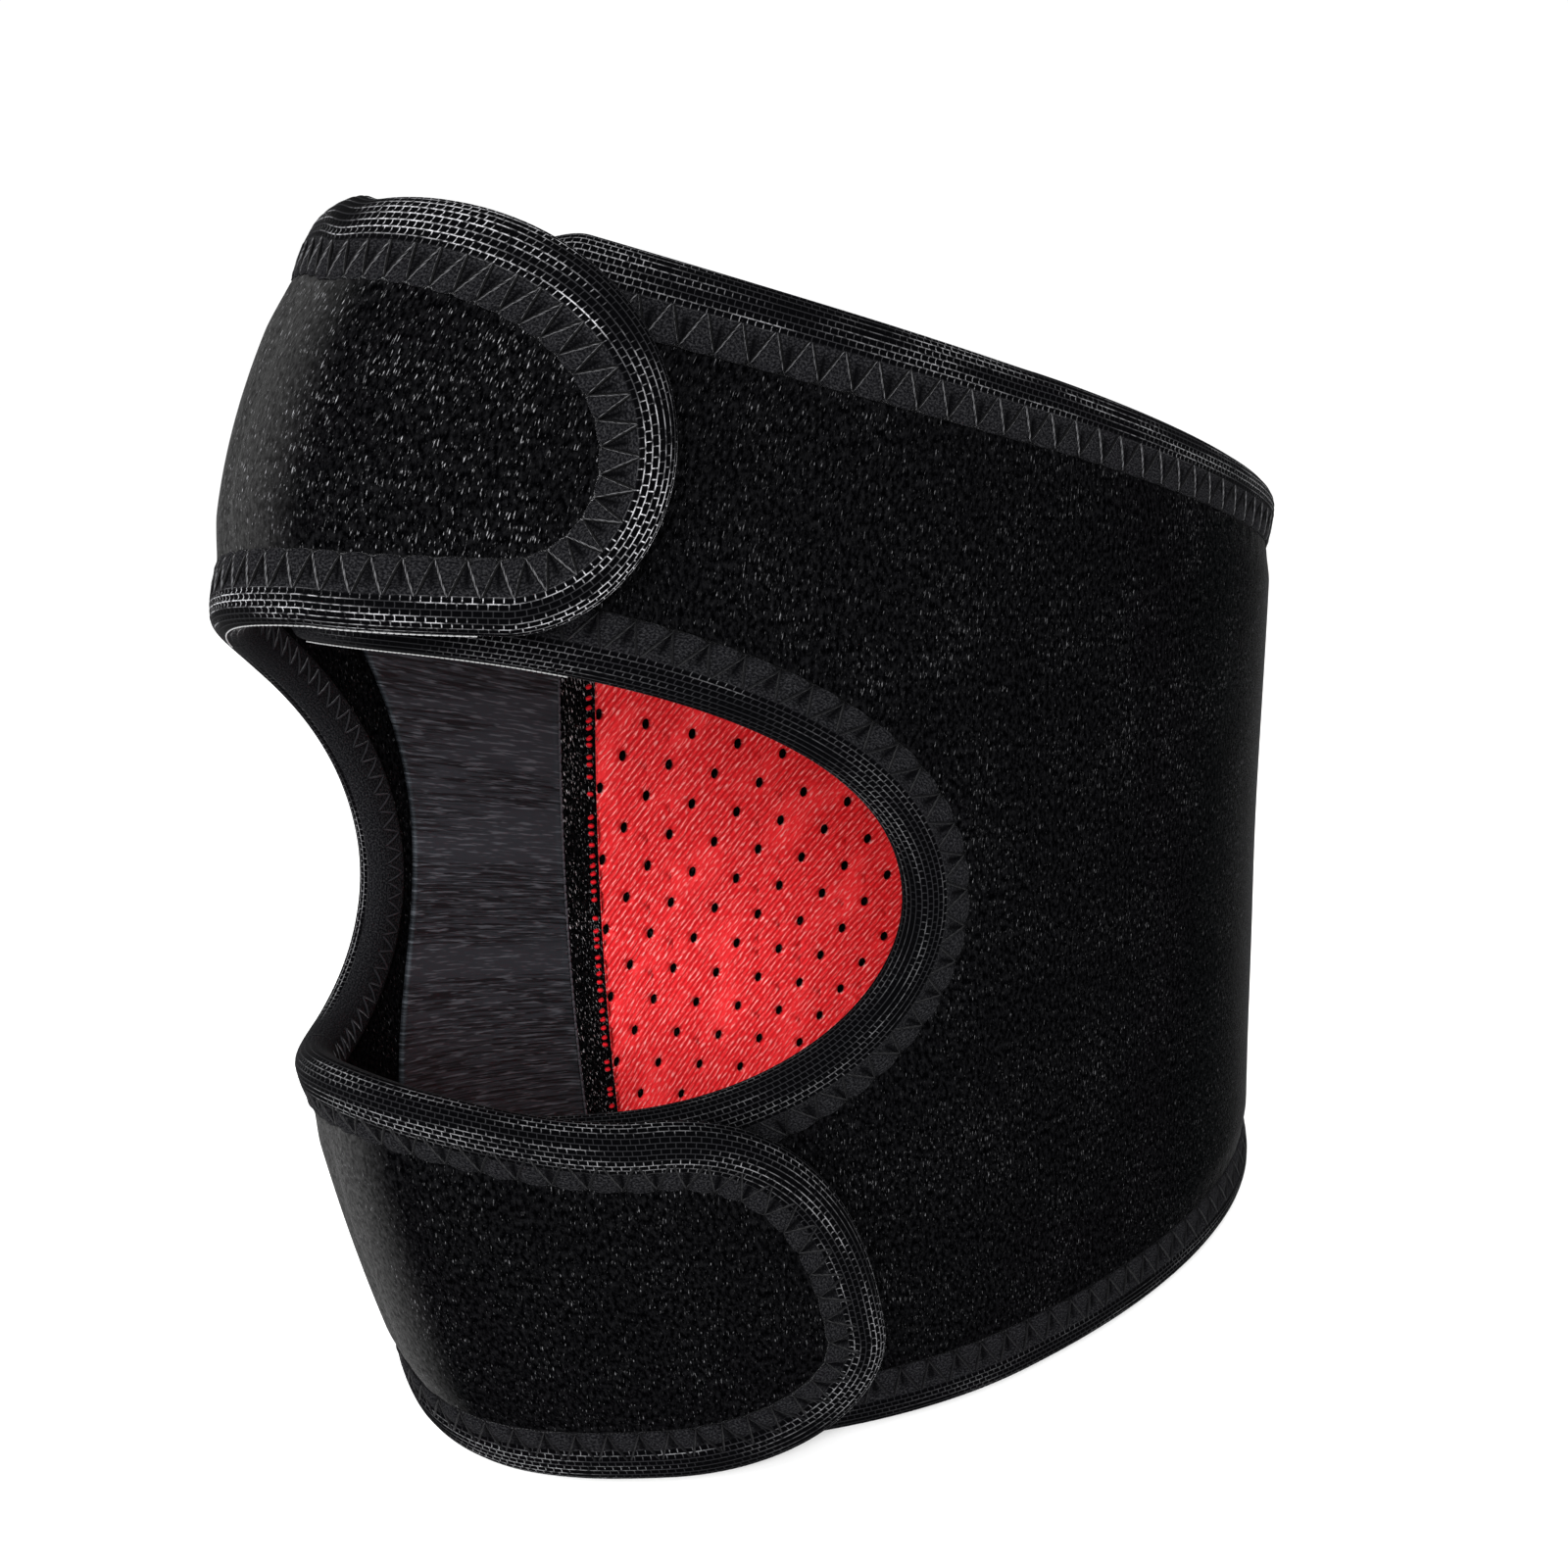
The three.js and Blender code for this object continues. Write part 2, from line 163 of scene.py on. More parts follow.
def wrap_face(s):
    """One layer step under the straps on the near side, and level with them on the far side."""
    return np.where(s > half_round, strap_face(s - round_length), strap_face(s) - layer_step)


print("layer step", layer_step, "mm, under the strap at the front", round(float(wrap_face(10.0)), 2))

# %% [markdown]
# ## The cut edges
# The window is made of quarter ovals, and so are the straps' round ends. Each edge is a function of s
# and of e, the way in from the edge, so the same function draws the cloth, which is set back inside
# its tape, and each cord of the tape.

# %% Edges of the window
def oval(way, reach, rise, power=2.0):
    """Height of a quarter oval: rise times the power root of one minus share to the power."""
    share = np.clip(way / reach, 0, 1)
    return rise * (1 - share ** power) ** (1 / power)


def top_edge(s):
    """The upper rim falls from the front height to the back height with the ring's angle."""
    share = (1 + np.cos(angle_at(s))) / 2
    return back_height + (front_height - back_height) * share ** top_fall


covered_drop = 3.4


def wrap_top(s):
    """The wrap's own upper rim, a little lower where the strap covers it."""
    return top_edge(s) - np.where(s > half_round, 0, covered_drop * (1 - risen(s, 24, 36)))


def near_top(s, e):
    """The near notch above the axis: a quarter oval whose reach and rise grow by e."""
    return window_axis + oval(s - 8, 71.9 + e, 33.4 + e)


def near_bottom(s, e):
    """The near notch below the axis: a smaller quarter oval, taken off the axis."""
    return window_axis - oval(s - 40, 39.9 + e, 22.6 + e)


def far_top(s, e):
    """The far notch above the axis: its quarter oval runs the other way along s."""
    return window_axis + oval(15.2 - s, 51.0 + e, 36.3 + e)


def crown(s):
    """The lower strap's edge rises a little at the front, as the square of a cosine."""
    width = np.where(s < 10.8, 28.1, 32.7)
    return 4.6 * np.cos(np.pi / 2 * np.clip(np.abs(s - 10.8) / width, 0, 1)) ** 2


def far_bottom(s, e):
    """The far notch below the axis: a quarter oval taken off the axis, and the crown."""
    return window_axis - oval(-17.3 - s, 18.5 + e, 19.1 + e) + crown(s)


print("upper rim at front and back:", float(top_edge(0.0)), round(float(top_edge(half_round)), 1))

# %% Edges of the straps
upper_reach, upper_axis, upper_rise = 51.6, 121.4, 27.7
lower_reach, lower_tip, lower_height = 68.2, 18.3, 49.8


def upper_top(s, e):
    """Eases from the upper rim to the strap's highest line, then falls as a quarter oval."""
    start = mix(top_edge(s), upper_axis + upper_rise, ease(s / 8)) - e
    return np.where(s <= 8, start, upper_axis + oval(s - 8, upper_reach - 8 - e, upper_rise - e))


def upper_low(s, e):
    """The far notch's edge, then a straight fall, then a quarter oval up to the tip."""
    fall = 107.3 - 1.4 * (s - 15.2) / 20.8 + e
    end = upper_axis - oval(s - 36, upper_reach - 36 - e, 15.5 - e)
    return np.where(s <= 15.2, far_top(s, e), np.where(s <= 36, fall, end))


def lower_top(s, e):
    """A straight fall with the crown on it, then a fuller quarter oval down to the tip."""
    start = mix(51.9, lower_height, np.clip((s + 17.3) / 60.8, 0, 1)) + crown(s) - e
    end = lower_tip + oval(s - 43.5, lower_reach - 43.5 - e, lower_height - lower_tip - e, 2.4)
    return np.where(s <= 43.5, start, end)


def lower_low(s, e):
    """Level, e above the floor, then a quarter oval up to the tip."""
    return np.where(s <= 37.4, e, lower_tip - oval(s - 37.4, lower_reach - 37.4 - e, lower_tip - e))


print("strap ends at s =", upper_reach, "and", lower_reach)

# %% [markdown]
# ## Camera, floor and light
# The camera comes before any cloth, so that every render can be laid beside the photograph. Its
# place was worked out from the outline of the strap. The studio is white all round: a pale floor, a
# white world, one lamp from the camera's side that reaches into the ring, and a larger one from the
# left that leaves a sheen on the straps.

# %% Camera
camera_azimuth, camera_elevation, camera_roll = np.radians([55.07, 16.12, 1.96])
camera_distance, camera_aside, camera_above = 217.66, -5.07, -1.64
focal_pixels, image_width, sensor_width = 1572.39, 1600, 36.0

back = np.array([np.sin(camera_azimuth) * np.cos(camera_elevation),
                 -np.cos(camera_azimuth) * np.cos(camera_elevation), np.sin(camera_elevation)])
right = np.array([np.cos(camera_azimuth), np.sin(camera_azimuth), 0])
up = np.cross(back, right)
target = np.array([shift_x, shift_y, middle_height]) + right * camera_aside + up * camera_above
place = (target + back * camera_distance) * MM
turned_right = np.cos(camera_roll) * right - np.sin(camera_roll) * up
turned_up = np.sin(camera_roll) * right + np.cos(camera_roll) * up


def placed(side, upward, backward, where):
    """A matrix whose columns are an object's three axes and its place."""
    made = np.eye(4)
    made[:3, 0], made[:3, 1], made[:3, 2], made[:3, 3] = side, upward, backward, where
    return Matrix(made.tolist())


camera_data = bpy.data.cameras.new("camera")
camera_data.sensor_width = sensor_width
camera_data.lens = sensor_width * focal_pixels / image_width
camera_data.clip_start = 0.005
camera = bpy.data.objects.new("camera", camera_data)
bpy.context.scene.collection.objects.link(camera)
camera.matrix_world = placed(turned_right, turned_up, back, place)
bpy.context.scene.camera = camera
print("camera at", place.round(4))

# %% Helpers for materials
def material(name, roughness, sheen=0.0, gloss=0.03):
    """A new material and its shader, with its even values set on the shader's own sockets."""
    made = bpy.data.materials.new(name)
    made.use_nodes = True
    shader = made.node_tree.nodes["Principled BSDF"]
    shader.inputs["Roughness"].default_value = roughness
    shader.inputs["Sheen Weight"].default_value = sheen
    shader.inputs["Sheen Roughness"].default_value = 0.22
    shader.inputs["Specular IOR Level"].default_value = gloss
    return made, shader


def node(made, kind, values=None, **settings):
    """Adds one shader node, sets its properties, and its inputs from values or from links."""
    new = made.node_tree.nodes.new(kind)
    for key, value in settings.items():
        setattr(new, key, value)
    for key, value in (values or {}).items():
        if isinstance(value, bpy.types.NodeSocket):
            made.node_tree.links.new(value, new.inputs[key])
        else:
            new.inputs[key].default_value = value
    return new


def number(made, operation, first, second):
    """One number worked out from two, with an operation such as MULTIPLY or MAXIMUM."""
    return node(made, "ShaderNodeMath", {0: first, 1: second}, operation=operation).outputs[0]


def slope(made, value, low, high):
    """Zero below low and one above high, with a smooth step between."""
    ranged = node(made, "ShaderNodeMapRange", {"Value": value, "From Min": low, "From Max": high},
                  interpolation_type="SMOOTHSTEP")
    return ranged.outputs[0]


def two_colours(made, share, first, second):
    """The first colour where share is 0 and the second where it is 1; either may be a link."""
    mixed = node(made, "ShaderNodeMix", data_type="RGBA")
    made.node_tree.links.new(share, mixed.inputs[0])
    for socket, colour in ((mixed.inputs[6], first), (mixed.inputs[7], second)):
        if isinstance(colour, bpy.types.NodeSocket):
            made.node_tree.links.new(colour, socket)
        else:
            socket.default_value = (*colour, 1)
    return mixed.outputs[2]


def finished(made, shader, colour, height, strength, depth):
    """Links the colour, and a bump of the given depth in metres."""
    bump = node(made, "ShaderNodeBump", {"Height": height, "Strength": strength, "Distance": depth})
    made.node_tree.links.new(bump.outputs[0], shader.inputs["Normal"])
    made.node_tree.links.new(colour, shader.inputs["Base Color"])
    return made


print("material helpers ready")

# %% Patterns in millimetres of cloth
def cloth_place(made, along=1.0, across=1.0, turn=0.0, start=(0, 0, 0)):
    """The piece's UV, which is in millimetres, turned and then divided by a grain's two sizes."""
    uv = node(made, "ShaderNodeUVMap", uv_map="UVMap").outputs[0]
    turned = node(made, "ShaderNodeMapping", {"Vector": uv, "Location": start, "Rotation": (0, 0, turn),
                                              "Scale": (along, across, 1)}, vector_type="TEXTURE")
    return turned.outputs[0]


def grain(made, along, across, turn=0.0, detail=2.0, roughness=0.5):
    """Noise whose grains are about along by across millimetres."""
    return node(made, "ShaderNodeTexNoise", {"Vector": cloth_place(made, along, across, turn), "Scale": 1.0,
                                             "Detail": detail, "Roughness": roughness}).outputs[0]


print("patterns read each piece's own UV")

# %% Floor and light
floor_material, floor_shader = material("pale_floor", 0.9)
floor_grain = node(floor_material, "ShaderNodeTexNoise", {"Scale": 40.0, "Detail": 3.0}).outputs[0]
finished(floor_material, floor_shader,
         two_colours(floor_material, floor_grain, (0.965, 0.965, 0.965), (0.985, 0.985, 0.985)),
         floor_grain, 0.05, 0.0002)
floor_mesh = bpy.data.meshes.new("floor")
floor_mesh.from_pydata([(-9, -9, 0), (9, -9, 0), (9, 9, 0), (-9, 9, 0)], [], [(0, 1, 2, 3)])
floor_mesh.materials.append(floor_material)
floor = bpy.data.objects.new("floor", floor_mesh)
bpy.context.scene.collection.objects.link(floor)

world = bpy.data.worlds.new("white_studio")
world.use_nodes = True
world.node_tree.nodes["Background"].inputs[0].default_value = (1, 1, 1, 1)
world.node_tree.nodes["Background"].inputs[1].default_value = 1.05
bpy.context.scene.world = world
bpy.context.scene.view_settings.view_transform = "Standard"


def lamp(name, where, size, power):
    """A square lamp that faces the middle of the strap: its depth axis points away from it."""
    data = bpy.data.lights.new(name, "AREA")
    data.size, data.energy = size, power
    made = bpy.data.objects.new(name, data)
    depth = np.array(where) - np.array([0, 0, middle_height * MM])
    depth /= np.linalg.norm(depth)
    side = np.cross([0, 0, 1], depth)
    side /= np.linalg.norm(side)
    made.matrix_world = placed(side, np.cross(depth, side), depth, where)
    bpy.context.scene.collection.objects.link(made)


lamp("camera_side", (0.55, -0.42, 0.42), 0.35, 8.0)
lamp("left_side", (-0.35, -0.75, 0.45), 0.5, 6.0)
print("studio ready")

# %% [markdown]
# ## Turning grids into cloth
# Each cloth piece is drawn flat, as one or more grids of s and z. Grids that share places share
# vertices there. The drawing is then carried to the ring twice, at the outer face and at the inner
# face, and a wall is added along every edge that has a triangle on one side alone. A Solidify
# modifier could give the thickness, but here each face has its own shape: the outer one swells.

# %% Mesh helpers
def add_piece(name, points, faces, uv, finish):
    """A mesh object at the origin, with one UV place for each vertex, riding on the body."""
    mesh = bpy.data.meshes.new(name)
    mesh.from_pydata(points.tolist(), [], faces)
    layer = mesh.uv_layers.new(name="UVMap")
    corner_of = np.empty(len(mesh.loops), np.int32)
    mesh.loops.foreach_get("vertex_index", corner_of)
    layer.data.foreach_set("uv", uv[corner_of].astype(np.float32).ravel())
    mesh.polygons.foreach_set("use_smooth", np.ones(len(mesh.polygons), bool))
    mesh.materials.append(finish)
    mesh.update()
    piece = bpy.data.objects.new(name, mesh)
    bpy.context.scene.collection.objects.link(piece)
    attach(piece, "root")
    print(name, len(mesh.polygons), "faces")
    return piece


def outward(points, triangles):
    """Turns the triangles over if the volume that they enclose, the sum of a . (b x c), is below 0."""
    a, b, c = points[triangles[:, 0]], points[triangles[:, 1]], points[triangles[:, 2]]
    return triangles if np.einsum("ij,ij->i", a, np.cross(b, c)).sum() > 0 else triangles[:, ::-1]


def grid_triangles(index):
    """Two triangles for each cell of a grid of vertex numbers."""
    p, q, r, t = index[..., :-1, :-1], index[..., 1:, :-1], index[..., 1:, 1:], index[..., :-1, 1:]
    return np.concatenate([np.stack([p, q, r], -1).reshape(-1, 3), np.stack([p, r, t], -1).reshape(-1, 3)])


def two_faced(name, places, triangles, outer, inner, finish):
    """Carries flat triangles of (s, z) to an outer and an inner face and walls their open edges."""
    keys, vertex_of = np.unique(np.round(places, 3), axis=0, return_inverse=True)
    tri = vertex_of.ravel()[triangles]
    a, b, c = keys[tri[:, 0]], keys[tri[:, 1]], keys[tri[:, 2]]
    area = (b[:, 0] - a[:, 0]) * (c[:, 1] - a[:, 1]) - (b[:, 1] - a[:, 1]) * (c[:, 0] - a[:, 0])
    tri = tri[np.abs(area) > 1e-5]
    edges = np.concatenate([tri[:, [0, 1]], tri[:, [1, 2]], tri[:, [2, 0]]])
    code = np.sort(edges, 1) @ np.array([len(keys), 1])
    _, first, times = np.unique(code, return_index=True, return_counts=True)
    rim = edges[first[times == 1]]
    s, z = keys[:, 0], keys[:, 1]
    n = len(keys)
    points = np.concatenate([ring(s, z, outer(s, z)), ring(s, z, inner(s, z))])
    walls = np.concatenate([np.stack([rim[:, 1], rim[:, 0], rim[:, 0] + n], -1),
                            np.stack([rim[:, 1], rim[:, 0] + n, rim[:, 1] + n], -1)])
    faces = outward(points, np.concatenate([tri, tri[:, ::-1] + n, walls]))
    return add_piece(name, points, faces.tolist(), np.tile(keys, (2, 1)), finish)


def cloth(name, grids, outer, inner, finish):
    """Joins whole grids of (s, z) into one two-faced piece."""
    places = np.concatenate([np.stack([s.ravel(), z.ravel()], -1) for s, z in grids])
    starts = np.cumsum([0] + [s.size for s, _ in grids])
    triangles = [grid_triangles(np.arange(s.size).reshape(s.shape)) + start
                 for (s, _), start in zip(grids, starts)]
    return two_faced(name, places, np.concatenate(triangles), outer, inner, finish)


def between(stations, low, high, rows):
    """A grid whose columns run from the low edge to the high edge."""
    s = np.repeat(stations[:, None], rows + 1, 1)
    return s, mix(low(stations)[:, None], high(stations)[:, None], np.linspace(0, 1, rows + 1)[None])


def crowded(start, end, count):
    """Stations that crowd toward the end, as a sine does."""
    return mix(start, end, np.sin(np.pi / 2 * np.linspace(0, 1, count + 1)))


print("mesh helpers ready")

# %% [markdown]
# ## Runs along the edges
# A tape, a seam and a line of thread all follow the same edges. A run is a stretch of edge: straight
# ones follow a height function, and corners are quarter ovals that grow or shrink with e. A list of
# runs is one whole edge, and laying it out gives s and z at even steps.

# %% Runs
def straight(start, end, height):
    """A run from start to end, whose height is a function of s and e."""
    def at(u, e):
        s = mix(start, end, u) + 0 * e
        return s, height(s, e) + 0 * s
    return abs(end - start), at


def corner(centre, axis, reach, rise, side, way_up, grow, first, last, power=2.0):
    """A quarter oval: reach times sine along s and rise times cosine along z, grown by e."""
    def at(u, e):
        a, b = reach + grow * e, rise + grow * e
        turn = mix(first(a), last(a), u)
        return (centre + side * a * np.sin(turn) ** (2 / power),
                axis + way_up * b * np.maximum(np.cos(turn), 0) ** (2 / power))
    return math.pi / 2 * math.hypot(reach, rise) / math.sqrt(2), at


def level(a):
    """The turn at a corner's full rise, nought for every reach a."""
    return 0 * a


def upright(a):
    """The turn at a corner's full reach, a right angle for every reach a."""
    return 0 * a + np.pi / 2


def far_cut(a):
    """The turn where the far corner meets the strap seam: the arcsine of the way there over a."""
    return np.arcsin((15.2 - strap_seam) / a)


def lay(runs, e, spacing):
    """Carries the ways in e along the runs and gives s and z, a row for each station. A table e may
    have a row of its own for each station."""
    rows, start = [], 0
    for order, (length, at) in enumerate(runs):
        u = np.linspace(0, 1, max(3, round(length / spacing)) + 1)[(1 if order else 0):]
        here = e[start:start + len(u)] if e.ndim == 2 else e[None]
        rows.append(at(u[:, None], here))
        start += len(u)
    return np.concatenate([r[0] for r in rows]), np.concatenate([r[1] for r in rows])


def along(s, z):
    """The length so far at each place of a line."""
    return np.concatenate([[0], np.cumsum(np.hypot(np.diff(s), np.diff(z)))])


print("runs ready")

# %% Every edge of the strap
strap_start = strap_seam + 0.05
seam_end = round_length + strap_seam - 0.05
edge_runs = {
    "top_binding": ([straight(under_end, seam_end, lambda s, e: wrap_top(s) - e)], wrap_face, 4.3),
    "bottom_binding": ([straight(under_end, seam_end, lambda s, e: e)], wrap_face, 4.2),
    "near_notch_binding": ([corner(8, window_axis, 71.9, 33.4, 1, 1, 1, level, upright),
                            corner(40, window_axis, 39.9, 22.6, 1, -1, 1, upright, level),
                            straight(40, under_end, near_bottom)], wrap_face, 4.0),
    "far_notch_binding": ([corner(round_length + 15.2, window_axis, 51.0, 36.3, -1, 1, 1, far_cut, upright),
                           corner(round_length - 17.3, window_axis, 18.5, 19.1, -1, -1, 1, upright, level),
                           straight(round_length - 17.3, seam_end,
                                    lambda s, e: lower_top(s - round_length, e))], wrap_face, 2.8),
    "upper_tab_binding": ([straight(strap_start, 8, upper_top),
                           corner(8, upper_axis, 43.6, 27.7, 1, 1, -1, level, upright),
                           corner(36, upper_axis, 15.6, 15.5, 1, -1, -1, upright, level),
                           straight(36, strap_start, upper_low)], strap_face, 3.2),
    "lower_tab_binding": ([straight(strap_start, 37.4, lower_low),
                           corner(37.4, lower_tip, 30.8, 18.3, 1, -1, -1, level, upright),
                           corner(43.5, lower_tip, 24.7, 31.5, 1, 1, -1, upright, level, 2.4),
                           straight(43.5, strap_start, lower_top)], strap_face, 3.9),
}
edge_lines = {}
for edge_name, (runs, _, pitch) in edge_runs.items():
    line_s, line_z = lay(runs, np.array([0.0, 4.0]), 0.3)
    length = along(line_s[:, 1], line_z[:, 1])
    edge_lines[edge_name] = np.stack([line_s[:, 0], line_z[:, 0], length / pitch], -1)
    print(edge_name, round(length[-1]), "mm,", round(length[-1] / pitch), "stitches")

# %% [markdown]
# ## Loop cloth
# The outside is a brushed loop cloth: almost black, with short pale fibres that catch the light and a soft
# sheen where it turns away. On the straps part of that sheen is painted, as a paler nap over the front bend.
# Stretched noise gives the fibres, a slow one makes them gather in patches, and a fine one is the nap.

# %% Loop cloth finish
nap_low, nap_high = (0.0002, 0.0002, 0.0003), (0.0050, 0.0050, 0.0055)


# Painted sheen: the straps' nap is painted paler over the front bend, from s = 4 to 15 mm.
painted_sheen_start, painted_sheen_end = 4.0, 15.0


def loop_cloth(name, fibre_start, fibre_tone, painted_sheen_tone=None):
    """Upright fibres 0.17 by 1 mm on near black. They show where a fine noise and a slow one
    together pass fibre_start. A nap of half a millimetre darkens and lifts the cloth between them.
    Where the cloth bends over the front and turns away, a painted sheen makes the nap paler, out to the
    sheen's end along s, in the given sheen tone."""
    made, shader = material(name, 0.95, 0.06, 0.0)
    shader.inputs["Sheen Roughness"].default_value = 0.13
    fibres = grain(made, 0.17, 1.0, -0.12, 2.0, 0.6)
    patches = grain(made, 9.0, 13.0, 0.2, 2.0)
    lifted = number(made, "ADD", fibres, number(made, "MULTIPLY", patches, 0.14))
    nap = grain(made, 0.5, 0.9, 0.0, 4.0, 0.7)
    dark = two_colours(made, slope(made, nap, 0.38, 0.75), nap_low, nap_high)
    # Painted sheen: a paler nap over the front bend, which fades out along s.
    if painted_sheen_tone:
        way_round = node(made, "ShaderNodeSeparateXYZ", {0: cloth_place(made)}).outputs[0]
        pale = two_colours(made, slope(made, nap, 0.30, 0.70), (painted_sheen_tone * 0.4,) * 3, (painted_sheen_tone * 1.4,) * 3)
        dark = two_colours(made, slope(made, way_round, painted_sheen_end, painted_sheen_start), dark, pale)
    tone = (fibre_tone, fibre_tone, fibre_tone * 1.04)
    colour = two_colours(made, slope(made, lifted, fibre_start, fibre_start + 0.16), dark, tone)
    return finished(made, shader, colour, nap, 0.5, 0.00025)


# The two strap finishes carry a painted sheen over the front bend, the lower strap's the paler.
strap_loops = loop_cloth("strap_loops", 0.69, 0.26, 0.018)
lower_loops = loop_cloth("lower_strap_loops", 0.705, 0.13, 0.028)
wrap_loops = loop_cloth("wrap_loops", 0.70, 0.11)
strip_loops = loop_cloth("strip_loops", 0.685, 0.80)
print("finishes:", strap_loops.name, wrap_loops.name, strip_loops.name)

# %% [markdown]
# ## The wrap and the two closing straps
# The wrap runs from under the straps on the near side, round the back, to the strap seam. Its two
# notches make the window. The foam is pressed flat under its tapes and swells a little between them,
# so the outer face is raised with the distance to the nearest edge. A cloth simulation would puff it
# like a cushion, but this foam is only 3 mm thick and keeps its form, so the swell is a formula.

# %% Foam between the tapes
cloth_inset = 1.2
swell_start, swell_width, swell_height = 7.2, 6.0, 0.75
pucker_height, pucker_reach = 0.24, 5.5
fold_place, fold_depth, fold_width = 1.0, 0.45, 1.7


def nearest_edge(s, z, names):
    """The distance from each place to the nearest station of the named edges, and the stitches
    counted along the tape up to that station."""
    lines = np.concatenate([edge_lines[name] for name in names])
    found = []
    for part in np.array_split(np.stack([s.ravel(), z.ravel()], -1), 40):
        away = np.hypot(part[:, None, 0] - lines[None, :, 0], part[:, None, 1] - lines[None, :, 1])
        found.append(np.stack([away.min(1), lines[away.argmin(1), 2]], -1))
    found = np.concatenate(found)
    return found[:, 0].reshape(s.shape), found[:, 1].reshape(s.shape)


def swell(s, z, names):
    """Foam held flat by its tape rises to full height half a centimetre inside it, with low waves.
    Beside the tape it puckers: a sine of the stitches so far, which dies out inward."""
    away, stitch = nearest_edge(s, z, names)
    rise = ease((away - swell_start) / swell_width)
    waves = 0.18 * np.sin(s / 11.0 + np.sin(z / 17.0)) * np.sin(z / 14.0 + 1.3 * np.sin(s / 23.0))
    puckers = pucker_height * np.abs(np.sin(np.pi * stitch)) * ease(1 - (away - swell_start) / pucker_reach)
    return rise * (swell_height + waves) + np.where(away > swell_start, puckers, 0) * ease(away - swell_start)


def fold_groove(s, z):
    """A soft groove down a strap where it bends over the front: a bell curve whose middle wanders."""
    middle = fold_place + 0.9 * np.sin(z / 7.0) + 0.5 * np.sin(z / 2.9)
    return fold_depth * np.exp(-((s - middle) / fold_width) ** 2)


print("foam swells", swell_height, "mm")

# %% Wrap
near_tip = 79.9 + cloth_inset
far_tip = round_length - 35.8 - cloth_inset
wrap_edges = ("top_binding", "bottom_binding", "near_notch_binding", "far_notch_binding")


def wrap_low(s):
    """The lower edge of the two notches, and the window's axis between their tips."""
    near = np.where(s < near_tip, near_bottom(s, cloth_inset), window_axis)
    far = np.where(s > far_tip, far_bottom(s - round_length, cloth_inset), window_axis)
    return np.where(s > half_round, far, near)


def wrap_high(s):
    """The upper edge of the two notches, and the window's axis between their tips."""
    near = np.where(s < near_tip, near_top(s, cloth_inset), window_axis)
    far = np.where(s > far_tip, far_top(s - round_length, cloth_inset), window_axis)
    return np.where(s > half_round, far, near)


def wrap_outer(s, z):
    """The wrap's face, swollen where no strap lies on it."""
    bare = np.where(s > half_round, 1.0, risen(s, 66, 84))
    return wrap_face(s) + bare * swell(s, z, wrap_edges)


wrap_rows = 56
wrap_stations = np.unique(np.concatenate([
    np.linspace(under_end, 40, 26), crowded(40, near_tip, 48), np.linspace(near_tip, far_tip, 190),
    crowded(seam_end, far_tip, 36)]).round(4))
wrap = cloth("wrap_cloth", [
    between(wrap_stations, lambda s: np.full(s.shape, cloth_inset), wrap_low, wrap_rows),
    between(wrap_stations, wrap_high, lambda s: wrap_top(s) - cloth_inset, wrap_rows)],
    wrap_outer, lambda s, z: wrap_face(s) - wall, wrap_loops)
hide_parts("main_wrap")

# %% Closing straps
def strap_cloth(name, node_name, edge_name, tip, start_round, low, high, finish):
    """A strap from the seam to its round end, with the same foam as the wrap."""
    stations = np.unique(np.concatenate([np.linspace(strap_start, start_round, 60),
                                         crowded(start_round, tip - cloth_inset, 56)]).round(4))
    grid = between(stations, lambda s: low(s, cloth_inset), lambda s: high(s, cloth_inset), 72)

    def outer(s, z):
        raised = swell(s, z, (edge_name,))
        return strap_face(s) + raised - fold_groove(s, z) * np.clip(raised / swell_height, 0, 1)

    piece = cloth(name, [grid], outer, lambda s, z: strap_face(s) - wall, finish)
    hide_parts(node_name)


strap_cloth("upper_strap_cloth", "upper_tab", "upper_tab_binding", upper_reach, 8.0,
            upper_low, upper_top, strap_loops)
strap_cloth("lower_strap_cloth", "lower_tab", "lower_tab_binding", lower_reach, 37.4,
            lower_low, lower_top, lower_loops)

# %% [markdown]
# ## Ribbed tape
# The tape is folded over the edge. Its roll is woven of parallel cords with cross threads that look
# like brickwork, and its inner part is flat, where the zigzag seam holds it down and pulls its
# border into scallops. A profile with one bump for each cord is carried along the edge, and the
# threads are painted on the same bumps, because each is under a fifth of a millimetre.

# %% Tape finish
cord_pitch, cell_length, thread_width = 0.68, 1.0, 0.062
rib_start, rib_end = 3.7, 11.0
cell_black, thread_grey = (0.0005, 0.0005, 0.0007), (0.011, 0.011, 0.0122)
# Painted shade for the clefts between the lobes of the tape's flat part.
painted_cleft_shade = (0.0006, 0.0006, 0.0008)
flat_low, flat_high = (0.0020, 0.0020, 0.0025), (0.0160, 0.0160, 0.0174)


